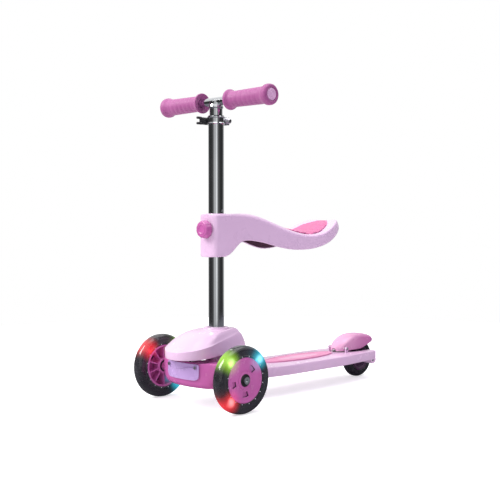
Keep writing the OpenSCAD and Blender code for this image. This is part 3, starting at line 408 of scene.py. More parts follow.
for side in (-1, 1):
    inner, outer = sorted((side * 1.6, side * 5.4))
    box_piece(band_bm, (inner, column_y + column_r - 0.6, clamp_low.z), (outer, clamp_high.y, clamp_high.z),
              0.9)
band = place_piece(band_bm, "clamp_band", chrome, "root")
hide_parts("collar_clamp")

nut_bm = bmesh.new()
turned(nut_bm, [(2.4, 5.55), (5.6, 5.55), (6.2, 6.0), (6.2, 7.4), (5.4, 7.9), (5.2, 11.2), (4.4, 12.8),
                (3.2, 13.6), (1.6, 13.95), (0.01, 14.0), (0.01, 12.0), (2.4, 11.0)], (0, rod_y, rod_z),
       (1, 0, 0), steps=24)
nut = place_piece(nut_bm, "clamp_acorn_nut", chrome, "root", sharp=30)
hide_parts("clamp_nut")

lever_low, lever_high = box_mm("clamp_lever")
pin_x, pin_y = middle_mm("clamp_cam_pin").x, middle_mm("clamp_cam_pin").y
lever_bm = bmesh.new()
rod_room, thumb_ribs = 3.0, 9
for z_low, z_high in ((lever_low.z, rod_z - rod_room), (rod_z + rod_room, lever_high.z)):
    turned(lever_bm, [(2.05, z_low + 0.2), (5.4, z_low), (6.0, z_low + 0.6), (6.0, z_high - 0.6), (5.4, z_high),
                      (2.05, z_high)],
           (pin_x, pin_y, 0), (0, 0, 1), steps=32)
    box_piece(lever_bm, (pin_x - 6.0, pin_y - 14, z_low), (pin_x - 1.2, pin_y, z_high), 0.8)
tip_y = lever_low.y
box_piece(lever_bm, (pin_x - 6.0, tip_y + 7.5, lever_low.z + 1.2), (pin_x - 2.6, pin_y - 9, lever_high.z - 1.2),
          0.9)
for z_low, z_high in ((lever_low.z, lever_low.z + 4.4), (lever_high.z - 4.4, lever_high.z)):
    box_piece(lever_bm, (pin_x - 6.2, tip_y, z_low), (pin_x - 1.6, tip_y + 12, z_high), 1.6, 3)
for rib in range(thumb_ribs):
    rib_y = tip_y + 8.5 + 3.5 * rib
    box_piece(lever_bm, (pin_x - 6.9, rib_y, lever_low.z + 0.4), (pin_x - 4.5, rib_y + 1.9, lever_high.z - 0.4),
              0.5)
lever = place_piece(lever_bm, "clamp_cam_lever", nylon, "lever", clean=False)
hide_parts("clamp_lever")

# Seat knob: a tapered hand knob of gloss magenta plastic with shallow finger flutes and a raised ring on its
# face. It turns on the locking pin of the seat.
magenta = surface("magenta_plastic", (0.58, 0.14, 0.41), (0.52, 0.115, 0.36), (0.16, 0.34),
                  (14.0, 70.0, 1600.0), 0.14, Coat_Weight=0.35, Coat_Roughness=0.12)
knob_low, knob_high = box_mm("seat_knob")
knob_mid = middle_mm("seat_knob")
knob_r = (knob_high.x - knob_low.x) / 2
knob_l = knob_high.y - knob_low.y
knob_bm = bmesh.new()
turned(knob_bm, [(0.01, knob_l - 1.4), (6.5, knob_l - 1.2), (7.5, knob_l - 0.3), (9.3, knob_l - 0.2),
                 (10.3, knob_l - 1.0), (knob_r - 4.2, knob_l - 0.9), (knob_r - 2.6, knob_l - 1.6),
                 (knob_r - 1.7, knob_l - 3.2), (knob_r - 1.2, knob_l * 0.5), (knob_r - 0.3, 3.0), (knob_r, 1.6),
                 (knob_r - 0.4, 0.3), (knob_r - 1.4, 0), (4.1, 0), (4.1, knob_l - 4), (0.01, knob_l - 4)],
       (0, knob_high.y, knob_mid.z), (0, -1, 0), steps=96)
flutes, flute_depth = 12, 0.55
for vert in knob_bm.verts:
    out = Vector((vert.co.x, 0, vert.co.z - knob_mid.z))
    if out.length > knob_r - 3.4:
        turn = math.atan2(out.z, out.x)
        dip = flute_depth * (0.5 + 0.5 * math.cos(flutes * turn)) ** 2
        vert.co -= out.normalized() * dip
knob = place_piece(knob_bm, "seat_hand_knob", magenta, "knob", sharp=40)
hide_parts("seat_knob")

# Wheels: a moulded hub with a dished and pocketed outer face, ribs behind it, two sealed bearings, and a cast
# tyre. The front tyres are smoky clear polyurethane with lamps buried in them, which a ring magnet on the
# axle lights.
bearing_seal = surface("bearing_seal", (0.016, 0.016, 0.018), (0.03, 0.03, 0.033), (0.3, 0.5),
                       (90.0, 150.0, 2600.0), 0.2)
magnet = surface("magnet", (0.04, 0.04, 0.045), (0.07, 0.07, 0.075), (0.3, 0.5), (90.0, 150.0, 2000.0), 0.2,
                 Metallic=0.6)
elastomer = surface("bushing_elastomer", (0.72, 0.72, 0.68), (0.62, 0.62, 0.58), (0.4, 0.6),
                    (60.0, 90.0, 1500.0), 0.2)
cover_nodes(magnet, "wheel_magnets")
cover_nodes(elastomer, "steering_bushings")
cover_nodes(chrome, "left_axle", "right_axle", "rear_axle")
# Dark plum plastic: the rear hub's own colour, and painted shade in the pockets of the front hubs.
dark_hub_and_pocket_shade = surface("dark_hub_plastic_and_pocket_shade", (0.060, 0.018, 0.058), (0.085, 0.026, 0.08), (0.25, 0.45),
                   (30.0, 70.0, 1800.0), 0.15)

# Lamp glow: painted light, fed to the emission, for how strongly one lamp lights the plastic round it, falling
# off smoothly with distance.
glow, glow_in, glow_out = values_group("lamp_glow", [("Lamp", "v"), ("Reach", "f"), ("Colour", "c"),
                                                     ("Under", "c")],
                                       [("Colour", "c")])
glow_place = glow.nodes.new("ShaderNodeTexCoord")
away = node_in(glow, "ShaderNodeVectorMath", operation="DISTANCE")
wire(glow, glow_place, "Object", away, 0)
wire(glow, glow_in, "Lamp", away, 1)
near = node_in(glow, "ShaderNodeMath", operation="DIVIDE")
wire(glow, away, "Value", near, 0)
wire(glow, glow_in, "Reach", near, 1)
fade = node_in(glow, "ShaderNodeMapRange", interpolation_type="SMOOTHERSTEP", From_Min=0.0, From_Max=1.0,
               To_Min=1.0, To_Max=0.0)
wire(glow, near, 0, fade, "Value")
lit = node_in(glow, "ShaderNodeMix", data_type="RGBA", blend_type="MIX")
lit.inputs["A"].default_value = (0, 0, 0, 1)
wire(glow, fade, "Result", lit, "Factor")
wire(glow, glow_in, "Colour", lit, "B")
total = node_in(glow, "ShaderNodeMix", data_type="RGBA", blend_type="ADD")
total.inputs["Factor"].default_value = 1.0
wire(glow, lit, "Result", total, "A")
wire(glow, glow_in, "Under", total, "B")
wire(glow, total, "Result", glow_out, "Colour")


def lit_by(material, lamps, strength):
    """Adds the painted glow of several lamps, each (place in metres, reach, colour), to a material as emission.
    """
    tree = material.node_tree
    shader = tree.nodes["Principled BSDF"]
    before = None
    for place, reach, colour in lamps:
        cell = tree.nodes.new("ShaderNodeGroup")
        cell.node_tree = glow
        cell.inputs["Lamp"].default_value = place
        cell.inputs["Reach"].default_value = reach
        cell.inputs["Colour"].default_value = (*colour, 1)
        cell.inputs["Under"].default_value = (0, 0, 0, 1)
        if before:
            wire(tree, before, "Colour", cell, "Under")
        before = cell
    wire(tree, before, "Colour", shader, "Emission Color")
    shader.inputs["Emission Strength"].default_value = strength


hub_ribs, rib_foot_r = 10, 14.6
pocket_in_r, pocket_out_r, pocket_reach = 21.0, 30.0, 13


def hub_mesh(bm, centre, side, rim_r, half, pockets):
    """A moulded hub about X: its outer face towards side, ribs behind, and pockets in painted shade at given
    turns.
    """
    x = Vector((side, 0, 0))
    outer = [(11.2, half - 0.3), (14.2, half + 0.2), (15.0, half - 0.2), (15.6, half - 1.6),
             (rim_r * 0.5, half - 2.3), (rim_r * 0.76, half - 1.9), (rim_r - 5.4, half - 1.2),
             (rim_r - 3.6, half - 0.2), (rim_r - 2.6, half + 0.3), (rim_r - 0.8, half + 0.2),
             (rim_r - 0.1, half - 0.6)]
    back = [(rim_r - 0.1, -half + 0.4), (rim_r - 0.8, -half), (rim_r - 3.2, -half), (rim_r - 3.8, -half + 0.8),
            (rim_r - 4.4, half - 5.2), (15.2, half - 5.4), (14.6, -half + 0.6), (13.8, -half), (11.2, -half)]
    turned(bm, outer + back, centre, x, steps=72)
    faces = []
    for face in bm.faces:
        spot = face.calc_center_median() - Vector(centre)
        r = math.hypot(spot.y, spot.z)
        along = spot.dot(x)
        if along > half - 2.8 and pocket_in_r < r < pocket_out_r:
            turn = math.degrees(math.atan2(spot.z, spot.y)) % 360
            if any(abs((turn - p + 180) % 360 - 180) < pocket_reach for p in pockets):
                faces.append(face)
    if faces:
        bmesh.ops.inset_region(bm, faces=faces, thickness=0.6, depth=-0.5, use_even_offset=True)
        walls = bmesh.ops.inset_region(bm, faces=faces, thickness=0.4, depth=-3.0,
                                       use_even_offset=True)["faces"]
        # Painted shade: the pockets' floors and walls take the dark slot.
        for face in faces + walls:
            face.material_index = 1
    rib_size = (2 * half - 7.5, rim_r - 18.5, 2.0)
    for i in range(hub_ribs):
        rib = bmesh.ops.create_cube(bm, size=1.0)["verts"]
        bmesh.ops.scale(bm, vec=rib_size, verts=rib)
        bmesh.ops.translate(bm, vec=(-side * 1.6, rib_foot_r + rib_size[1] / 2, 0), verts=rib)
        rib_turn = Matrix.Rotation(math.tau * (i + 0.5) / hub_ribs, 3, "X")
        bmesh.ops.rotate(bm, cent=(0, 0, 0), matrix=rib_turn, verts=rib)
        bmesh.ops.translate(bm, vec=centre, verts=rib)


def tyre_mesh(bm, centre, side, outer_r, inner_r, half, groove):
    """A cast tyre about X with a crowned tread between two fine grooves and a stepped side wall."""
    right = [(inner_r, half - 1.4), (inner_r + 1.2, half - 0.5), (inner_r + 3.0, half - 0.2),
             (inner_r + 4.0, half - 0.9), (inner_r + 7.5, half - 0.5), (outer_r - 8.0, half - 0.1),
             (outer_r - 5.5, half - 0.5), (outer_r - 3.4, half - 1.7), (outer_r - 2.1, half - 3.2),
             (outer_r - 1.9 - groove, half - 3.6), (outer_r - 1.5, half - 4.2), (outer_r - 0.7, half - 5.8),
             (outer_r - 0.15, half - 8.6)]
    left = [(r, -t) for r, t in reversed(right)]
    turned(bm, right + [(outer_r, 0)] + left, centre, (side, 0, 0), steps=128)


def bearing_mesh(bm, centre, side, r_in, r_out, face_at, width):
    """One plain ring of a bearing about X."""
    turned(bm, [(r_in, face_at), (r_out, face_at), (r_out, face_at - width), (r_in, face_at - width)], centre,
           (side, 0, 0), steps=48)


green, cyan, red, dull = (0.42, 0.85, 0.02), (0.02, 0.60, 0.80), (1.0, 0.02, 0.03), (0.0, 0.0, 0.0)
lamp_turns = (135, 45, 225, 315)
wide_reach, core_reach = 0.030, 0.013
hub_painted_glow, tyre_painted_glow, bulb_glow = 0.5, 1.15, 9.0
bearing_w, seal_r, race_r, studs = 6.8, 5.8, 9.2, 16
for side, word, colours in ((1, "left", (green, cyan, red, dull)), (-1, "right", (red, green, dull, cyan))):
    centre = middle_mm(f"{word}_tyre")
    outer_r = half_mm(f"{word}_tyre").z
    tyre_half = half_mm(f"{word}_tyre").x
    rim_r = half_mm(f"{word}_hub").z
    hub_half = half_mm(f"{word}_hub").x
    lamps = []
    for turn, colour in zip(lamp_turns, colours):
        angle = math.radians(turn)
        lamps.append((Vector((0, math.cos(angle), math.sin(angle))), colour))
    shining = [(out, colour) for out, colour in lamps if colour != dull]

    hub_paint = magenta.copy()
    hub_paint.name = f"{word}_hub_plastic"
    # Painted glow: the hub's plastic is given emission round each lit lamp.
    painted_glows = [(0.001 * (centre + out * (rim_r + 6)), wide_reach, colour) for out, colour in shining]
    lit_by(hub_paint, painted_glows, hub_painted_glow)
    hub_bm = bmesh.new()
    hub_mesh(hub_bm, centre, side, rim_r, hub_half, (45, 192, 275) if side > 0 else (135, 348, 265))
    hub = place_piece(hub_bm, f"{word}_wheel_hub", hub_paint, f"{word}_wheel", sharp=32)
    hub.data.materials.append(dark_hub_and_pocket_shade)
    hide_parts(f"{word}_hub")

    smoke = surface(f"{word}_smoky_urethane", (0.035, 0.035, 0.042), (0.06, 0.06, 0.068), (0.05, 0.14),
                    (18.0, 60.0, 700.0), 0.04, Transmission_Weight=0.45, IOR=1.45, Coat_Weight=0.4,
                    Coat_Roughness=0.05)
    # Painted glow in the tyre: a wide glow round each lit lamp, and a paler painted core at the side wall.
    painted_glows = [(0.001 * (centre + out * (rim_r + 9)), wide_reach, colour) for out, colour in shining]
    side_wall = Vector((side * (tyre_half - 2), 0, 0))
    painted_glows += [(0.001 * (centre + out * (rim_r + 8) + side_wall), core_reach,
               tuple(0.45 * c + 0.35 for c in colour))
              for out, colour in shining]
    lit_by(smoke, painted_glows, tyre_painted_glow)
    tyre_bm = bmesh.new()
    tyre_mesh(tyre_bm, centre, side, outer_r, rim_r, tyre_half, 0.4)
    tyre = place_piece(tyre_bm, f"{word}_light_tyre", smoke, f"{word}_wheel", sharp=40)
    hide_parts(f"{word}_tyre")

    race_bm = bmesh.new()
    seal_bm = bmesh.new()
    for face in (hub_half - 0.1, -hub_half + bearing_w + 0.1):
        bearing_mesh(race_bm, centre, side, race_r, 11.1, face, bearing_w)
        bearing_mesh(race_bm, centre, side, 4.05, seal_r, face, bearing_w)
        bearing_mesh(seal_bm, centre, side, seal_r, race_r, face - 0.4, bearing_w - 0.8)
    races = place_piece(race_bm, f"{word}_bearing_races", bearing_seal, f"{word}_wheel")
    seals = place_piece(seal_bm, f"{word}_bearing_seals", bearing_seal, f"{word}_wheel")
    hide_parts(f"{word}_bearings")

    ring_bm = bmesh.new()
    turned(ring_bm, [(rim_r + 0.02, -5.5), (rim_r + 1.5, -5.0), (rim_r + 1.5, 5.0), (rim_r + 0.02, 5.5)],
           centre, (side, 0, 0), steps=96)
    for stud in range(studs):
        angle = math.radians(360 / studs * stud + 11)
        out = Vector((0, math.cos(angle), math.sin(angle)))
        for across in (-1, 1):
            made = bmesh.ops.create_icosphere(ring_bm, subdivisions=1, radius=1.25)["verts"]
            stud_at = centre + out * (rim_r + 2.0) + Vector((across * (tyre_half - 1.0), 0, 0))
            bmesh.ops.translate(ring_bm, vec=stud_at, verts=made)
    clear_ring = surface(f"{word}_lamp_ring", (0.75, 0.74, 0.78), (0.6, 0.6, 0.66), (0.1, 0.25),
                         (40.0, 80.0, 900.0), 0.05)
    ring = place_piece(ring_bm, f"{word}_lamp_ring", clear_ring, f"{word}_wheel")
    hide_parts(f"{word}_lights")
    for number, (out, colour) in enumerate(lamps):
        bulb_bm = bmesh.new()
        turned(bulb_bm, [(0.01, 0.2), (2.6, 0.3), (2.7, 1.4), (2.2, 1.8), (2.2, 4.6), (1.9, 6.0), (1.1, 6.8),
                         (0.01, 7.1)],
               centre + out * rim_r, out, steps=20)
        bulb_paint = surface(f"{word}_lamp_{number}", (0.9, 0.92, 0.9), (0.8, 0.85, 0.85), (0.1, 0.2),
                             (80.0, 120.0, 900.0), 0.05)
        if colour != dull:
            bulb_shader = bulb_paint.node_tree.nodes["Principled BSDF"]
            bulb_shader.inputs["Emission Color"].default_value = (*colour, 1)
            bulb_shader.inputs["Emission Strength"].default_value = bulb_glow
        bulb = place_piece(bulb_bm, f"{word}_lamp_bulb_{number}", bulb_paint, f"{word}_wheel")

# Rear wheel: a plain dark hub on two bearings, in a smaller cast tyre of black polyurethane. It turns on a
# bolt through the deck's fork.
rear = middle_mm("rear_tyre")
rear_r = half_mm("rear_tyre").z
rear_half = half_mm("rear_tyre").x
rear_rim_r = half_mm("rear_hub").z
rear_bm = bmesh.new()
hub_mesh(rear_bm, rear, 1, rear_rim_r, rear_half - 0.3, ())
rear_hub = place_piece(rear_bm, "rear_wheel_hub", dark_hub_and_pocket_shade, "rear_wheel", sharp=32)
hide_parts("rear_hub")
black_urethane = surface("black_urethane", (0.018, 0.018, 0.021), (0.032, 0.032, 0.036), (0.22, 0.42),
                         (24.0, 60.0, 900.0), 0.12)
rear_tyre_bm = bmesh.new()
tyre_mesh(rear_tyre_bm, rear, 1, rear_r, rear_rim_r, rear_half, 0.3)
rear_tyre = place_piece(rear_tyre_bm, "rear_cast_tyre", black_urethane, "rear_wheel", sharp=40)
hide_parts("rear_tyre")
cover_nodes(bearing_seal, "rear_bearings")

# Deck: one long moulding of glossy light pink plastic, hollow and ribbed underneath, with a fork for the rear
# wheel. Its neck rises into the head, and round bosses on the fork's ends carry the rear axle.
pink = surface("light_pink_plastic", (0.80, 0.565, 0.755), (0.775, 0.535, 0.73), (0.18, 0.32),
               (6.0, 45.0, 1500.0), 0.14, Coat_Weight=0.3, Coat_Roughness=0.1)
axle = middle_mm("left_tyre").y
deck_floor, deck_top = 40.0, 59.0
fork_half, fork_start = 23.0, rear.y - rear_r - 5
neck_w, mid_w, end_w = 46.0, 57.0, 46.0
deck_start = 46


def eased(t):
    """0 to 1 with soft ends, held at 0 and 1 outside."""
    t = min(max(t, 0.0), 1.0)
    return t * t * (3 - 2 * t)


def deck_half(y):
    """Half width of the deck at a station along it."""
    if y < column_y + 150:
        return neck_w + (mid_w - neck_w) * eased((y - column_y - deck_start) / 104)
    return mid_w - (mid_w - end_w) * eased((y - rear.y + 120) / 133)


def arc(x, y, r, turns):
    """Points round a centre, at turns in degrees."""
    return [(x + r * math.cos(math.radians(turn)), y + r * math.sin(math.radians(turn))) for turn in turns]


side_line = [(deck_half(y), y) for y in (column_y + deck_start + 19.8 * i for i in range(18))]
corner = arc(end_w - 8, rear.y + 5, 8, range(0, 91, 18))
inner_corner = arc(fork_half + 3, rear.y + 10, 3, range(90, 181, 30))
slot_corner = arc(fork_half - 6, fork_start + 6, 6, range(0, -91, -30))
half_outline = side_line + corner + inner_corner + slot_corner
outline = half_outline + [(-x, y) for x, y in reversed(half_outline)]


def raised(bm, faces, by):
    """Extrudes faces and lifts what grows; gives the grown vertices."""
    grown = bmesh.ops.extrude_face_region(bm, geom=faces)["geom"]
    verts = [g for g in grown if isinstance(g, bmesh.types.BMVert)]
    bmesh.ops.translate(bm, vec=(0, 0, by), verts=verts)
    return verts


deck_bm = bmesh.new()
floor_face = deck_bm.faces.new([deck_bm.verts.new((x, y, deck_floor)) for x, y in outline])
raised(deck_bm, [floor_face], deck_top - deck_floor)
deck_bm.normal_update()
bmesh.ops.recalc_face_normals(deck_bm, faces=deck_bm.faces)
floor_face = min((f for f in deck_bm.faces if len(f.verts) > 8), key=lambda f: f.calc_center_median().z)
bmesh.ops.inset_region(deck_bm, faces=[floor_face], thickness=4.2, depth=0.0, use_even_offset=True)
bmesh.ops.inset_region(deck_bm, faces=[floor_face], thickness=0.6, depth=-14.5, use_even_offset=True)
rim_edges = [e for e in deck_bm.edges if all(abs(v.co.z - deck_top) < 0.01 for v in e.verts)
             and len(e.link_faces) == 2
             and any(abs(f.normal.z) < 0.1 for f in e.link_faces)]
bmesh.ops.bevel(deck_bm, geom=rim_edges, offset=2.6, segments=3, profile=0.5, affect="EDGES", material=-1)
foot_edges = [e for e in deck_bm.edges if all(abs(v.co.z - deck_floor) < 0.01 for v in e.verts)
              and any(abs(f.normal.z) < 0.1 and f.calc_center_median().z < deck_top - 6 and len(f.verts) == 4
                      and f.calc_area() > 1 for f in e.link_faces)
              and any(abs(f.normal.z) > 0.9 for f in e.link_faces)]
bmesh.ops.bevel(deck_bm, geom=foot_edges, offset=1.6, segments=2, profile=0.5, affect="EDGES", material=-1)
deck = place_piece(deck_bm, "deck_moulding", pink, "root", sharp=30)
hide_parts("deck_shell")

rib_bm = bmesh.new()
ear_in, ear_out = fork_half - 1.4, fork_half + 1.6
ear_y, ear_z = middle_mm("brake_pin").y, middle_mm("brake_pin").z
first_rib, last_rib = column_y + 92, fork_start - 8
ribs_across = 7
for i in range(ribs_across):
    y = first_rib + (last_rib - first_rib) * i / (ribs_across - 1)
    box_piece(rib_bm, (-deck_half(y) + 4.5, y - 1.3, deck_floor + 3),
              (deck_half(y) - 4.5, y + 1.3, deck_top - 4))
for x in (-17.0, 17.0):
    box_piece(rib_bm, (x - 1.3, column_y + 60, deck_floor + 3), (x + 1.3, fork_start - 3, deck_top - 4))
for side in (-1, 1):
    turned(rib_bm, [(4.3, fork_half + 0.2), (8.0, fork_half + 0.2), (8.3, fork_half + 1.2), (8.3, end_w - 2),
                    (7.6, end_w + 0.6), (6.4, end_w + 0.9), (5.8, end_w - 0.4), (4.3, end_w - 0.4)],
           (0, rear.y, rear.z), (side, 0, 0), steps=48)
    turned(rib_bm, [(2.55, ear_in), (3.5, ear_in), (3.6, ear_out - 0.8), (3.1, ear_out), (2.55, ear_out)],
           (0, ear_y, ear_z), (side, 0, 0), steps=32)
    x0, x1 = sorted((side * ear_in, side * ear_out))
    box_piece(rib_bm, (x0, ear_y - 4, deck_top - 2), (x1, ear_y + 4, ear_z - 1), 0.6)
ribs = place_piece(rib_bm, "deck_ribs_and_bosses", pink, "root", sharp=35, clean=False)
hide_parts("deck_shell")

# Neck and head: the deck's plastic sweeps up to the socket of the column. The core inside the head cover,
# with the lugs of the kingpin, keeps the exact form of the deck's own front end.


def stadium(bm, front_y, front_r, back_y, back_r, height, count=64):
    """A ring of vertices round two circles; height gives z for each y. Returns its edges."""
    verts = []
    for i in range(count):
        turn = math.tau * (i + 0.5) / count
        out = Vector((math.cos(turn), math.sin(turn)))
        if out.y * front_y + front_r > out.y * back_y + back_r:
            x, y = front_r * out.x, front_y + front_r * out.y
        else:
            x, y = back_r * out.x, back_y + back_r * out.y
        verts.append(bm.verts.new((x, y, height(y))))
    return ringed(bm, verts)


def bridged(bm, rings):
    """Skins a row of edge rings."""
    for lower, upper in zip(rings, rings[1:]):
        bmesh.ops.bridge_loops(bm, edges=lower + upper)


neck_foot, neck_top = deck_floor + 14, 98.2
neck_bm = bmesh.new()
neck_rings = []
for t in (0.0, 0.03, 0.1, 0.22, 0.36, 0.5, 0.64, 0.78, 0.9, 1.0):
    spread = (1 - t) ** 2.2
    neck_rings.append(stadium(neck_bm, column_y + 8 + 2 * spread, 18 + 2 * spread, column_y + 20 + 24 * spread,
                              36.5 + 9.2 * spread, lambda y, t=t: neck_foot + (neck_top - neck_foot) * t))
bridged(neck_bm, neck_rings)
bmesh.ops.contextual_create(neck_bm, geom=neck_rings[-1])
neck = place_piece(neck_bm, "deck_neck", pink, "root", sharp=40)
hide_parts("deck_shell")

core_back = 52
core_bm = bmesh.new()
core_bm.from_mesh(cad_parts["deck_shell"].data)
bmesh.ops.scale(core_bm, vec=(1000, 1000, 1000), verts=core_bm.verts)
bmesh.ops.remove_doubles(core_bm, verts=core_bm.verts, dist=0.0005)
bmesh.ops.bisect_plane(core_bm, geom=core_bm.verts[:] + core_bm.edges[:] + core_bm.faces[:], dist=0.001,
                       plane_co=(0, column_y + core_back, 0), plane_no=(0, 1, 0), clear_outer=True)
bmesh.ops.holes_fill(core_bm, edges=[e for e in core_bm.edges if e.is_boundary])
core = place_piece(core_bm, "head_core", pink, "root", sharp=25)
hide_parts("deck_shell")

# Foot pad: a thin oval sheet of soft hot pink rubber let into the deck, with a raised border and a paler band
# of small raised pips down its middle for grip.
pad_low, pad_high = box_mm("deck_pad")
pad_mid = (pad_low + pad_high) / 2
pad_half = (pad_high - pad_low) / 2
pad_rubber = surface("foot_pad_rubber", (0.78, 0.30, 0.50), (0.72, 0.26, 0.45), (0.45, 0.65),
                     (16.0, 60.0, 1400.0), 0.5)
band_half_w, band_half_l = 0.0135, 0.062
pad_tree = pad_rubber.node_tree
pad_shader = pad_tree.nodes["Principled BSDF"]
pad_wear = next(n for n in pad_tree.nodes if n.type == "GROUP")
pad_grain = next(n for n in pad_tree.nodes if n.type == "BUMP")
pad_place = pad_tree.nodes.new("ShaderNodeTexCoord")
pad_axes = pad_tree.nodes.new("ShaderNodeMapping")
pad_axes.inputs["Location"].default_value = (0, -0.001 * pad_mid.y / band_half_l, 0)
pad_axes.inputs["Scale"].default_value = (1 / band_half_w, 1 / band_half_l, 0)
wire(pad_tree, pad_place, "Object", pad_axes, "Vector")
pad_length = node_in(pad_tree, "ShaderNodeVectorMath", operation="LENGTH")
wire(pad_tree, pad_axes, "Vector", pad_length, 0)
pad_band = node_in(pad_tree, "ShaderNodeMapRange", From_Min=0.82, From_Max=1.0, To_Min=1.0, To_Max=0.0)
wire(pad_tree, pad_length, "Value", pad_band, "Value")
pips = node_in(pad_tree, "ShaderNodeTexVoronoi", Scale=260.0, Randomness=0.0)
wire(pad_tree, pad_place, "Object", pips, "Vector")
pip_range = node_in(pad_tree, "ShaderNodeMapRange", From_Min=0.18, From_Max=0.42, To_Min=1.0, To_Max=0.0)
wire(pad_tree, pips, "Distance", pip_range, "Value")
pip_mask = node_in(pad_tree, "ShaderNodeMath", operation="MULTIPLY")
wire(pad_tree, pip_range, "Result", pip_mask, 0)
wire(pad_tree, pad_band, "Result", pip_mask, 1)
paler = node_in(pad_tree, "ShaderNodeMix", data_type="RGBA")
wire(pad_tree, pad_wear, "Colour", paler, "A")
paler.inputs["B"].default_value = (0.86, 0.58, 0.72, 1)
pale_mask = node_in(pad_tree, "ShaderNodeMath", operation="MULTIPLY_ADD")
wire(pad_tree, pad_band, "Result", pale_mask, 0)
pale_mask.inputs[1].default_value = 0.45
wire(pad_tree, pip_mask, 0, pale_mask, 2)
wire(pad_tree, pale_mask, 0, paler, "Factor")
wire(pad_tree, paler, "Result", pad_shader, "Base Color")
pip_bump = node_in(pad_tree, "ShaderNodeBump", Strength=0.8, Distance=0.0006)
wire(pad_tree, pip_mask, 0, pip_bump, "Height")
wire(pad_tree, pad_grain, "Normal", pip_bump, "Normal")
wire(pad_tree, pip_bump, "Normal", pad_shader, "Normal")
foot_bm = bmesh.new()
bmesh.ops.create_circle(foot_bm, cap_ends=True, segments=72, radius=1.0)
bmesh.ops.scale(foot_bm, vec=(pad_half.x - 0.3, pad_half.y - 0.3, 1), verts=foot_bm.verts)
bmesh.ops.translate(foot_bm, vec=(0, pad_mid.y, deck_top - 0.4), verts=foot_bm.verts)
raised(foot_bm, foot_bm.faces[:], pad_high.z - deck_top + 0.4)
bmesh.ops.recalc_face_normals(foot_bm, faces=foot_bm.faces)
top_face = max(foot_bm.faces, key=lambda f: f.calc_center_median().z)
bmesh.ops.bevel(foot_bm, geom=list(top_face.edges), offset=0.8, segments=3, profile=0.5, affect="EDGES",
                material=-1)
top_face = max((f for f in foot_bm.faces if len(f.verts) > 8), key=lambda f: f.calc_center_median().z)
bmesh.ops.inset_region(foot_bm, faces=[top_face], thickness=2.4, depth=0.0, use_even_offset=True)
bmesh.ops.inset_region(foot_bm, faces=[top_face], thickness=0.8, depth=-0.7, use_even_offset=True)
foot = place_piece(foot_bm, "foot_pad", pad_rubber, "root", sharp=40)
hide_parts("deck_pad")

# Head cover: an egg-shaped light pink hood over the truck. A soft crease divides its side wall from a crowned
# top, which rises to a raised collar round the column.
hood_front, hood_back = axle - 14, column_y + 22
collar_foot_r, collar_foot_z, hood_crown, hood_steps = 25.2, 135.4, 5.0, 72


def hood_rim(y):
    """Height of the hood's lower edge."""
    return 92.5 + 0.069 * (y - axle)


def hood_crease(y):
    """Height of the crease between the hood's side and its top."""
    run = y - axle
    return 117.4 + 0.227 * run - 0.0072 * max(0.0, run - 45) ** 2


def thickened(piece, wall):
    """Gives a skin a wall inwards, in metres, as a modifier that stays live."""
    thick = piece.modifiers.new("wall", "SOLIDIFY")
    thick.thickness = wall
    thick.offset = -1
    return thick


def softened(piece):
    """Rounds a piece's facets with one level of subdivision."""
    soft = piece.modifiers.new("soften", "SUBSURF")
    soft.levels = soft.render_levels = 1


cover_bm = bmesh.new()
cover_rings = []
for front_r, back_y, back_r, rise in ((50.0, hood_back, 37.4, 0.0), (50.9, hood_back, 38.2, 0.03),
                                      (51.4, hood_back - 0.6, 38.2, 0.3), (51.7, hood_back - 2.0, 37.6, 0.6),
                                      (51.6, hood_back - 4.5, 35.9, 0.86), (51.6, hood_back - 5.6, 35.0, 0.97),
                                      (51.4, hood_back - 5.9, 34.7, 1.0), (50.4, hood_back - 6.4, 33.9, 1.02)):
    cover_rings.append(stadium(cover_bm, hood_front, front_r, back_y, back_r,
                               lambda y, s=rise: hood_rim(y) + (hood_crease(y) - hood_rim(y)) * s, hood_steps))
for t in (0.06, 0.2, 0.38, 0.56, 0.74, 0.88, 0.97):
    front_y = hood_front + (column_y - hood_front) * t
    front_r = 49.5 + (collar_foot_r - 49.5) * t
    back_y = hood_back - 7 + (column_y - hood_back + 7) * t
    back_r = 32.5 + (collar_foot_r - 32.5) * t
    cover_rings.append(stadium(cover_bm, front_y, front_r, back_y, back_r,
                               lambda y, t=t: (hood_crease(y) + 1.0) * (1 - t) + collar_foot_z * t
                               + hood_crown * math.sin(math.pi * t ** 0.8), hood_steps))
for r, z in ((24.0, 136.2), (23.4, 137.4), (23.2, 139.0), (22.4, 139.6), (17.0, 139.6), (16.1, 139.0),
             (16.0, 136.0)):
    cover_rings.append(stadium(cover_bm, column_y, r, column_y + 0.01, r, lambda y, z=z: z, hood_steps))
bridged(cover_bm, cover_rings)
bmesh.ops.recalc_face_normals(cover_bm, faces=cover_bm.faces)
if sum(f.normal.dot(f.calc_center_median() - Vector((0, column_y - 20, 100))) for f in cover_bm.faces) < 0:
    bmesh.ops.reverse_faces(cover_bm, faces=cover_bm.faces)
cover = place_piece(cover_bm, "head_hood", pink, "root", sharp=180, clean=False)
thickened(cover, 0.0024)
softened(cover)
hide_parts("front_cover")

# Steering truck: a bowed block of magenta plastic with rounded lower corners. It tilts on the kingpin through
# its middle slot, and a stub on each end carries a wheel.
truck_half, truck_corner_r, bow = 75.0, 22, 150.0
truck_front, truck_back, truck_floor, truck_roof = axle - 42, axle + 20, 38.0, 84.0


def bowed(x):
    """How far the truck's front face falls back at x."""
    return bow - math.sqrt(bow * bow - x * x)


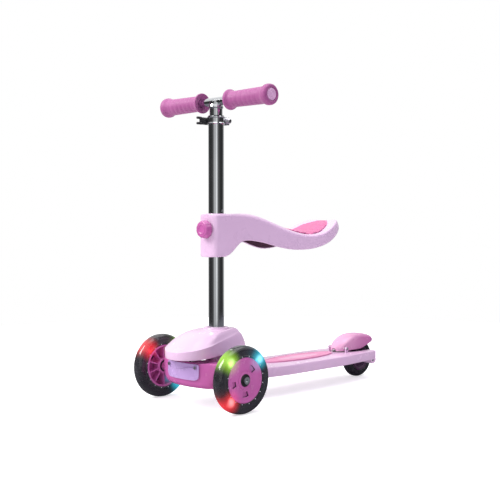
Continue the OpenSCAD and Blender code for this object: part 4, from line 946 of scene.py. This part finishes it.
def cut_away(bm, cutter_bm):
    """Takes one closed form from another and gives the result as a new bmesh."""
    scratch = []
    for name, source in (("whole", bm), ("cutter", cutter_bm)):
        mesh = bpy.data.meshes.new(name)
        source.to_mesh(mesh)
        source.free()
        thing = bpy.data.objects.new(name, mesh)
        scene.collection.objects.link(thing)
        scratch.append(thing)
    cutting = scratch[0].modifiers.new("cut", "BOOLEAN")
    cutting.object = scratch[1]
    cutting.solver = "EXACT"
    result = bmesh.new()
    result.from_object(scratch[0], bpy.context.evaluated_depsgraph_get())
    for thing in scratch:
        mesh = thing.data
        bpy.data.objects.remove(thing)
        bpy.data.meshes.remove(mesh)
    return result


truck_bm = bmesh.new()
truck_rings = []
end_stations = [52, 58, 64, 69, 72.5, 74.4, truck_half]
stations = [-x for x in reversed(end_stations)] + list(range(-45, 46, 9)) + end_stations
for x in stations:
    over = max(0.0, abs(x) - (truck_half - truck_corner_r))
    low = truck_floor + truck_corner_r - math.sqrt(max(0.0, truck_corner_r ** 2 - over * over))
    face = truck_front + bowed(x)
    tuck = 1.6 if abs(x) == truck_half else (0.5 if abs(x) > truck_half - 1 else 0.0)
    loop = [(truck_back - tuck, low + tuck), (face + 12, low + tuck), (face + 7, low + 0.7 + tuck),
            (face + 3.2, low + 3.2 + tuck), (face + 1.0 + tuck, low + 7.0 + tuck), (face + tuck, low + 12),
            (face + tuck, truck_roof - 3), (face + 0.8 + tuck, truck_roof - 1), (face + 3, truck_roof - tuck),
            (truck_back - tuck, truck_roof - tuck)]
    verts = [truck_bm.verts.new((x, y, max(z, low) if z < truck_roof else z)) for y, z in loop]
    truck_rings.append(ringed(truck_bm, verts))
bridged(truck_bm, truck_rings)
bmesh.ops.contextual_create(truck_bm, geom=truck_rings[0])
bmesh.ops.contextual_create(truck_bm, geom=truck_rings[-1])
bmesh.ops.recalc_face_normals(truck_bm, faces=truck_bm.faces)
slot_bm = bmesh.new()
box_piece(slot_bm, (-17, truck_front + 8, 0), (17, truck_back + 20, 200))
for side in (-1, 1):
    x0, x1 = sorted((side * 24, side * 66))
    box_piece(slot_bm, (x0, axle + 4, 66), (x1, truck_back + 20, 200))
truck_bm = cut_away(truck_bm, slot_bm)
truck = place_piece(truck_bm, "truck_block", magenta, "truck", sharp=30)
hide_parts("truck_housing")

axle_z, kingpin_lean = 60, -45
stub_bm = bmesh.new()
stub_end = middle_mm("left_tyre").x - half_mm("left_hub").x
for side in (-1, 1):
    turned(stub_bm, [(4.1, truck_half - 8), (13.0, truck_half - 8), (12.0, truck_half + 1.5),
                     (9.8, truck_half + 3.5), (9.0, truck_half + 6), (9.0, stub_end - 2.0),
                     (8.4, stub_end - 1.1), (5.6, stub_end - 1.1), (5.6, stub_end - 0.1),
                     (4.1, stub_end - 0.1)],
           (0, axle, axle_z), (side, 0, 0), steps=48)
bridge_verts = bmesh.ops.create_cube(stub_bm, size=1.0)["verts"]
bmesh.ops.scale(stub_bm, vec=(34, 20, 22), verts=bridge_verts)
bmesh.ops.bevel(stub_bm, geom=list({e for v in bridge_verts for e in v.link_edges}), offset=1.2, segments=2,
                profile=0.5, affect="EDGES", material=-1)
kingpin_mid = middle_mm("steering_bushings")
loose = [v for v in stub_bm.verts if abs(v.co.y) < 12 and abs(v.co.z) < 12 and abs(v.co.x) < 18]
bmesh.ops.rotate(stub_bm, cent=(0, 0, 0), matrix=Matrix.Rotation(math.radians(kingpin_lean), 3, "X"),
                 verts=loose)
bmesh.ops.translate(stub_bm, vec=(0, kingpin_mid.y, kingpin_mid.z), verts=loose)
stubs = place_piece(stub_bm, "truck_stubs_and_bridge", magenta, "truck", sharp=35, clean=False)
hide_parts("truck_housing")

# Front plate: a blank lilac plate, moulded to the bow of the truck and held by two small screws. A shallow
# step with a curved edge crosses its upper half.
lilac = surface("lilac_plastic", (0.52, 0.35, 0.66), (0.47, 0.31, 0.61), (0.2, 0.38), (20.0, 60.0, 1500.0),
                0.14)
plate_low, plate_high = box_mm("truck_plate")
plate_low_r, plate_top_r = 10, 4
plate_bm = bmesh.new()
bmesh.ops.create_grid(plate_bm, x_segments=48, y_segments=22, size=1.0)
for vert in plate_bm.verts:
    z = plate_low.z + (plate_high.z - plate_low.z) * (vert.co.y + 1) / 2
    half = plate_high.x
    if z < plate_low.z + plate_low_r:
        half -= plate_low_r - math.sqrt(max(0.0, plate_low_r ** 2 - (plate_low.z + plate_low_r - z) ** 2))
    if z > plate_high.z - plate_top_r:
        half -= plate_top_r - math.sqrt(max(0.0, plate_top_r ** 2 - (z - plate_high.z + plate_top_r) ** 2))
    x = half * vert.co.x
    line = plate_low.z + 16.5 + 6.5 * eased((x + 12) / 36)
    step = 1.3 * eased((z - line) / 1.4 + 0.5) * eased((plate_high.x - 3 - abs(x)) / 2)
    vert.co = (x, truck_front + bowed(x) - 2.5 + step, z)
plate = place_piece(plate_bm, "truck_front_plate", lilac, "truck", sharp=50)
if plate.data.polygons[0].normal.y > 0:
    plate.data.flip_normals()
thickened(plate, 0.0024)
plate_edge = plate.modifiers.new("edge", "BEVEL")
plate_edge.width = 0.0006
plate_edge.segments = 2
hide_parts("truck_plate")
cover_nodes(zinc, "truck_screws")

# Rear fender: a sprung hood of magenta plastic over the rear wheel. Its skirts hide the hinge and its rounded
# tail stands out behind, where a foot presses it down on the tyre to brake.
fender_low, fender_high = box_mm("brake_fender")
fender_paint = surface("fender_plastic", (0.62, 0.20, 0.44), (0.56, 0.16, 0.40), (0.16, 0.34),
                       (14.0, 60.0, 1600.0), 0.14, Coat_Weight=0.35, Coat_Roughness=0.12)
# Painted light and shade: paler pink at the hood's front, fading to its own magenta towards the tail.
fender_tree = fender_paint.node_tree
fender_shader = fender_tree.nodes["Principled BSDF"]
fender_place = fender_tree.nodes.new("ShaderNodeTexCoord")
fender_axes = fender_tree.nodes.new("ShaderNodeSeparateXYZ")
wire(fender_tree, fender_place, "Object", fender_axes, 0)
fender_painted_light = node_in(fender_tree, "ShaderNodeMapRange", interpolation_type="SMOOTHSTEP",
                      From_Min=0.001 * fender_low.y, From_Max=0.001 * (fender_high.y - 15), To_Min=0.0,
                      To_Max=1.0)
wire(fender_tree, fender_axes, "Y", fender_painted_light, "Value")
fender_painted_light_mix = node_in(fender_tree, "ShaderNodeMix", data_type="RGBA")
fender_painted_light_mix.inputs["A"].default_value = (0.80, 0.42, 0.62, 1)
wire(fender_tree, fender_painted_light, "Result", fender_painted_light_mix, "Factor")
fender_wear = next(n for n in fender_tree.nodes if n.type == "GROUP")
wire(fender_tree, fender_wear, "Colour", fender_painted_light_mix, "B")
wire(fender_tree, fender_painted_light_mix, "Result", fender_shader, "Base Color")


def through(table, at):
    """Value on the straight lines through a table of (place, value)."""
    for (a, va), (b, vb) in zip(table, table[1:]):
        if at <= b:
            return va + (vb - va) * min(max((at - a) / (b - a), 0.0), 1.0)
    return table[-1][1]


fender_top_line = [(160, 66.0), (166, 71.5), (174, 78.0), (182, 83.2), (190, 87.2), (198, 90.2), (208, 92.4),
                   (220, 93.0), (234, 92.6), (246, 91.2), (256, 89.0), (265, 86.2), (271, 83.6), (275, 81.2)]
fender_low_line = [(160, 61.0), (226, 61.2), (234, 63.8), (244, 67.0), (254, 70.6), (264, 73.4), (271, 75.0),
                   (275, 78.4)]
fender_half_line = [(160, 5.5), (162, 9.5), (166, 13.6), (172, 17.2), (180, 19.8), (190, 20.9), (240, 20.9),
                    (256, 20.0), (266, 17.6), (271.5, 14.0), (275, 8.5)]
fender_bm = bmesh.new()
bmesh.ops.create_grid(fender_bm, x_segments=16, y_segments=34, size=1.0)
for vert in fender_bm.verts:
    along = (vert.co.y + 1) / 2
    y = fender_low.y + (fender_high.y - fender_low.y) * (1 - (1 - along) ** 1.25)
    top, low, half = through(fender_top_line, y), through(fender_low_line, y), through(fender_half_line, y)
    height = max(top - low, 1.2)
    roll = 4.5 * min(1, height / 9)
    u = vert.co.x
    lap = abs(u)
    if lap > 0.5:
        drop = (lap - 0.5) / 0.5
        x = half
        z = top - roll - (height - roll) * drop
    else:
        bend = lap / 0.5
        flat = 0.8 ** 0.9
        shoulder = math.sin((bend - 0.8) / 0.2 * math.pi / 2)
        x = half * (bend ** 0.9 if bend < 0.8 else flat + (1 - flat) * shoulder)
        z = top + 1.2 * (1 - bend ** 2) - roll * eased((bend - 0.62) / 0.38)
    vert.co = (math.copysign(x, u), y, z)
fender = place_piece(fender_bm, "brake_hood", fender_paint, "brake", sharp=180)
if sum(p.normal.z for p in fender.data.polygons) < 0:
    fender.data.flip_normals()
thickened(fender, 0.0026)
softened(fender)
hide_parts("brake_fender")

hinge_bm = bmesh.new()
for side in (-1, 1):
    turned(hinge_bm, [(2.7, 8.2), (4.2, 8.2), (4.2, 18.4), (2.7, 18.4)], (0, ear_y, ear_z), (side, 0, 0),
           steps=32)
    x0, x1 = sorted((side * 9, side * 11))
    box_piece(hinge_bm, (x0, ear_y - 4, ear_z + 2.9), (x1, ear_y + 4, ear_z + 8.5))
hinge = place_piece(hinge_bm, "brake_hood_hinge", fender_paint, "brake", sharp=35, clean=False)
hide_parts("brake_fender")

# Saddle: one thick-walled pink moulding. At the front it is a square clamp housing round the column, and
# behind it sweeps back and down into a broad dished seat with soft rolled edges, open and hollow underneath.
saddle_paint = surface("saddle_plastic", (0.79, 0.56, 0.755), (0.775, 0.54, 0.74), (0.27, 0.37),
                       (5.0, 30.0, 1500.0), 0.14, Coat_Weight=0.15, Coat_Roughness=0.2)
top_edge_line = [(-193, 347.6), (-150, 347.8), (-125, 347.4), (-107, 345.6), (-88, 341.2), (-67, 334.0),
                 (-40, 322.8), (-13, 312.8), (14, 307.4), (41, 306.4), (68, 312.0), (95, 325.4), (120, 335.4),
                 (134, 338.6), (143, 338.2), (150, 334.6)]
low_edge_line = [(-193, 269.0), (-168, 269.0), (-160, 270.4), (-150, 276.0), (-139, 287.6), (-130, 296.2),
                 (-121, 299.4), (-105, 298.2), (-76, 294.0), (-45, 284.8), (-15, 278.8), (14, 278.0),
                 (41, 280.2), (68, 286.6), (95, 297.4), (123, 310.6), (150, 323.0)]
crown_line = [(-193, 0.3), (-150, 0.4), (-121, 1.6), (-91, 7.0), (-61, 10.5), (-31, 12.5), (-6, 11.5),
              (19, 7.0), (44, 2.0), (79, -2.5), (119, -3.5), (150, -1.0)]
plan_line = [(0.0, -193.0), (6, -192.8), (12, -192.2), (17, -191.2), (20.5, -189.8), (23.2, -187.4),
             (24.9, -184.0), (25.6, -179.0), (25.9, -170.0), (26, -160), (26, -148), (26, -136), (26, -125)]
housing_half, housing_back = 26, -125
seat_half, seat_mid, seat_round = 59, 71, 79


def saddle_flare(y):
    """Half width of the saddle between its housing and the round of its seat."""
    return housing_half + (seat_half - housing_half) * eased((y - housing_back) / (seat_mid - housing_back))


for i in range(1, 13):
    y = housing_back + (seat_mid - housing_back) * i / 12
    plan_line.append((saddle_flare(y), y))
for i in range(1, 15):
    turn = math.radians(90 * (1 - (1 - i / 14) ** 1.3))
    plan_line.append((seat_half * math.cos(turn) ** 0.92 if i < 14 else 0.0,
                      seat_mid + seat_round * math.sin(turn)))


def softly(table, at):
    """Value from a table, rounded through its corners."""
    return sum(through(table, at + d) * w for d, w in ((-7, 1), (-3.5, 2), (0, 3), (3.5, 2), (7, 1))) / 9


def saddle_top(x, y):
    """Height of the saddle's top skin."""
    round_part = seat_half * math.sqrt(max(0.02, 1 - ((y - seat_mid) / seat_round) ** 2))
    half = saddle_flare(y) if y < seat_mid else round_part
    return softly(top_edge_line, y) + softly(crown_line, y) * (1 - min(1, (x / half) ** 2))


# Each cross section runs up the side wall, round the rolled edge and over to the middle.
sides = [0.0, 0.0, 0.0, 0.34, 0.64, 0.88]
lower_roll = [(2.6, 0.0), (0.9, 1.3), (0.3, 4.0)]
rolled = [(0.0, 5.6), (0.35, 3.2), (1.5, 1.3), (3.4, 0.3), (6.0, 0.0)]
across_top = [0.82, 0.6, 0.36, 0.14]
half_count = len(sides) + len(rolled) + len(across_top)
saddle_bm = bmesh.new()
bmesh.ops.create_grid(saddle_bm, x_segments=2 * half_count, y_segments=len(plan_line) - 1, size=1.0)
for vert in saddle_bm.verts:
    half, y = plan_line[round((vert.co.y + 1) / 2 * (len(plan_line) - 1))]
    step = round((vert.co.x + 1) / 2 * 2 * half_count) - half_count
    side, place = (1 if step > 0 else -1), half_count - abs(step)
    upper, lower, crown = softly(top_edge_line, y), softly(low_edge_line, y), softly(crown_line, y)
    scale = min(1.0, half / 14)
    if place < len(sides):
        x = half - 0.3 * scale
        z = lower + (upper - 6.0 - lower) * sides[place]
        if place < len(lower_roll):
            x = half - lower_roll[place][0] * scale
            z = lower + lower_roll[place][1]
    elif place < len(sides) + len(rolled):
        in_by, down_by = rolled[place - len(sides)]
        x = half - in_by * scale
        z = upper - down_by
    else:
        share = (across_top + [0.0])[place - len(sides) - len(rolled)]
        x = (half - 6.0 * scale) * share
        z = upper
    if place >= len(sides) + 2:
        z += crown * (1 - (x / max(half, 1)) ** 2) if half > 1 else crown
    lean = (0.55, 0.3, 0.1, 0.0, 0.1, 0.4, 0.7, 0.85, 0.95)[min(place, 8)] if place < 9 else 1.0
    vert.co = (side * x, y - 9.0 * lean * eased((y - 84) / 66), z)
bmesh.ops.remove_doubles(saddle_bm, verts=saddle_bm.verts, dist=0.02)
bmesh.ops.dissolve_degenerate(saddle_bm, dist=0.02, edges=saddle_bm.edges[:])
bmesh.ops.recalc_face_normals(saddle_bm, faces=saddle_bm.faces)
if sum(f.normal.z * f.calc_area() for f in saddle_bm.faces) < 0:
    bmesh.ops.reverse_faces(saddle_bm, faces=saddle_bm.faces)
# Openings for the column and for the locking pin: faces are taken out and the edges drawn onto a circle.
column_gap_r, pin_gap_r = column_r + 2.6, 8.3
top_skin_z, front_skin_y = 335, -186
column_gap = [f for f in saddle_bm.faces if f.calc_center_median().z > top_skin_z
              and math.hypot(f.calc_center_median().x, f.calc_center_median().y - column_y) < 15.5]
pin_gap = [f for f in saddle_bm.faces if f.calc_center_median().y < front_skin_y
           and math.hypot(f.calc_center_median().x, f.calc_center_median().z - knob_mid.z) < 7.0]
bmesh.ops.delete(saddle_bm, geom=column_gap + pin_gap, context="FACES")
for vert in [v for v in saddle_bm.verts if v.is_boundary and v.co.z > 300]:
    across, along, down = vert.co.x, vert.co.y - column_y, vert.co.z - knob_mid.z
    if vert.co.z > top_skin_z and vert.co.y > front_skin_y - 6:
        spread = column_gap_r / max(math.hypot(across, along), 1)
        vert.co.x, vert.co.y = across * spread, column_y + along * spread
    elif vert.co.y < front_skin_y:
        spread = pin_gap_r / max(math.hypot(across, down), 1)
        vert.co.x, vert.co.z = across * spread, knob_mid.z + down * spread
saddle = place_piece(saddle_bm, "saddle_moulding", saddle_paint, "seat", sharp=180, clean=False)
saddle_painted_shade = surface("saddle_inner_painted_shade", (0.12, 0.035, 0.075), (0.10, 0.03, 0.065), (0.4, 0.6),
                        (12.0, 40.0, 1500.0), 0.2)
# The wall's inner side takes the next slot: dark painted shade under the seat, and pink where the rear tip
# turns in.
for shade in (saddle_painted_shade, saddle_paint, saddle_paint):
    saddle.data.materials.append(shade)
rear_tip = max(vert.co.y for vert in saddle.data.vertices) - 0.045
for face in saddle.data.polygons:
    if face.center.y > rear_tip:
        face.material_index = 2
saddle_wall = thickened(saddle, 0.003)
saddle_wall.material_offset = 1
saddle_wall.material_offset_rim = 0
softened(saddle)
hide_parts("seat_shell")

# Guide tube: inside the saddle's housing a tube runs on the column's sleeve, with a rim round the column at
# its top. Three webs, moulded in one with it, tie it to the walls.
guide_bm = bmesh.new()
guide_r = half_mm("seat_sleeve").x + 0.05
turned(guide_bm, [(guide_r, 269.6), (guide_r + 2.6, 269.6), (guide_r + 2.6, 345.0), (guide_r + 2.2, 348.3),
                  (guide_r + 1.2, 348.9), (guide_r, 348.6)], (0, column_y, 0), (0, 0, 1), steps=64)
for side in (-1, 1):
    x0, x1 = sorted((side * (guide_r + 2.2), side * 24.6))
    box_piece(guide_bm, (x0, column_y - 1.4, 271), (x1, column_y + 1.4, 344))
box_piece(guide_bm, (-1.4, column_y + guide_r + 2.2, 300), (1.4, column_y + 80, 336))
guide = place_piece(guide_bm, "saddle_guide_tube", saddle_paint, "seat", sharp=35, clean=False)
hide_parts("seat_shell")

# Seat pad: a soft hot pink oval of foam under smooth vinyl, laid in the dish of the saddle and held from
# below by two screws. The vinyl is puffed up from inside and kept on the dish.
pad_vinyl = surface("seat_pad_vinyl", (0.66, 0.135, 0.33), (0.62, 0.12, 0.30), (0.38, 0.56),
                    (16.0, 60.0, 900.0), 0.45, Sheen_Weight=0.12, Sheen_Roughness=0.5)
cushion_y, cushion_half_l, cushion_half_w = 61.0, 66.0, 43.0
cushion_bm = bmesh.new()
bmesh.ops.create_grid(cushion_bm, x_segments=18, y_segments=30, size=1.0)
for vert in cushion_bm.verts:
    u, v = vert.co.x, vert.co.y
    disc_x, disc_y = u * math.sqrt(1 - v * v / 2), v * math.sqrt(1 - u * u / 2)
    x, y = cushion_half_w * disc_x, cushion_y + cushion_half_l * disc_y
    vert.co = (x, y, saddle_top(x, y) + 0.2)
for vert in raised(cushion_bm, cushion_bm.faces[:], 0):
    edge = math.hypot(vert.co.x / cushion_half_w, (vert.co.y - cushion_y) / cushion_half_l)
    vert.co.z += 2.6 + 1.6 * (1 - min(1, edge) ** 2)
cushion = place_piece(cushion_bm, "seat_cushion", pad_vinyl, "seat", sharp=180)
most_puff, cloth_frames = 0.0012, 12
remesh = cushion.modifiers.new("remesh", "REMESH")
remesh.mode = "VOXEL"
remesh.voxel_size = 0.0026
graph = bpy.context.evaluated_depsgraph_get()
fine = bpy.data.meshes.new_from_object(cushion.evaluated_get(graph))
cushion.modifiers.clear()
cushion.data = fine
starts = [vert.co.copy() for vert in fine.vertices]
cloth = cushion.modifiers.new("cloth", "CLOTH")
cloth.settings.use_pressure = True
cloth.settings.uniform_pressure_force = 4.0
cloth.settings.effector_weights.gravity = 0.0
cloth.settings.quality = 4
cloth.settings.mass = 0.3
for number in range(1, cloth_frames + 1):
    scene.frame_set(number)
graph = bpy.context.evaluated_depsgraph_get()
puffed = bpy.data.meshes.new_from_object(cushion.evaluated_get(graph))
cushion.modifiers.clear()
for vert, start_co in zip(puffed.vertices, starts):
    move = vert.co - start_co
    if move.length > most_puff:
        vert.co = start_co + move * (most_puff / move.length)
    floor_z = 0.001 * (saddle_top(1000 * vert.co.x, 1000 * vert.co.y) + 0.1)
    vert.co.z = max(vert.co.z, floor_z)
cushion.data = puffed
scene.frame_set(1)
cushion.data.shade_smooth()
if not cushion.data.materials:
    cushion.data.materials.append(pad_vinyl)
softened(cushion)
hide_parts("seat_pad")
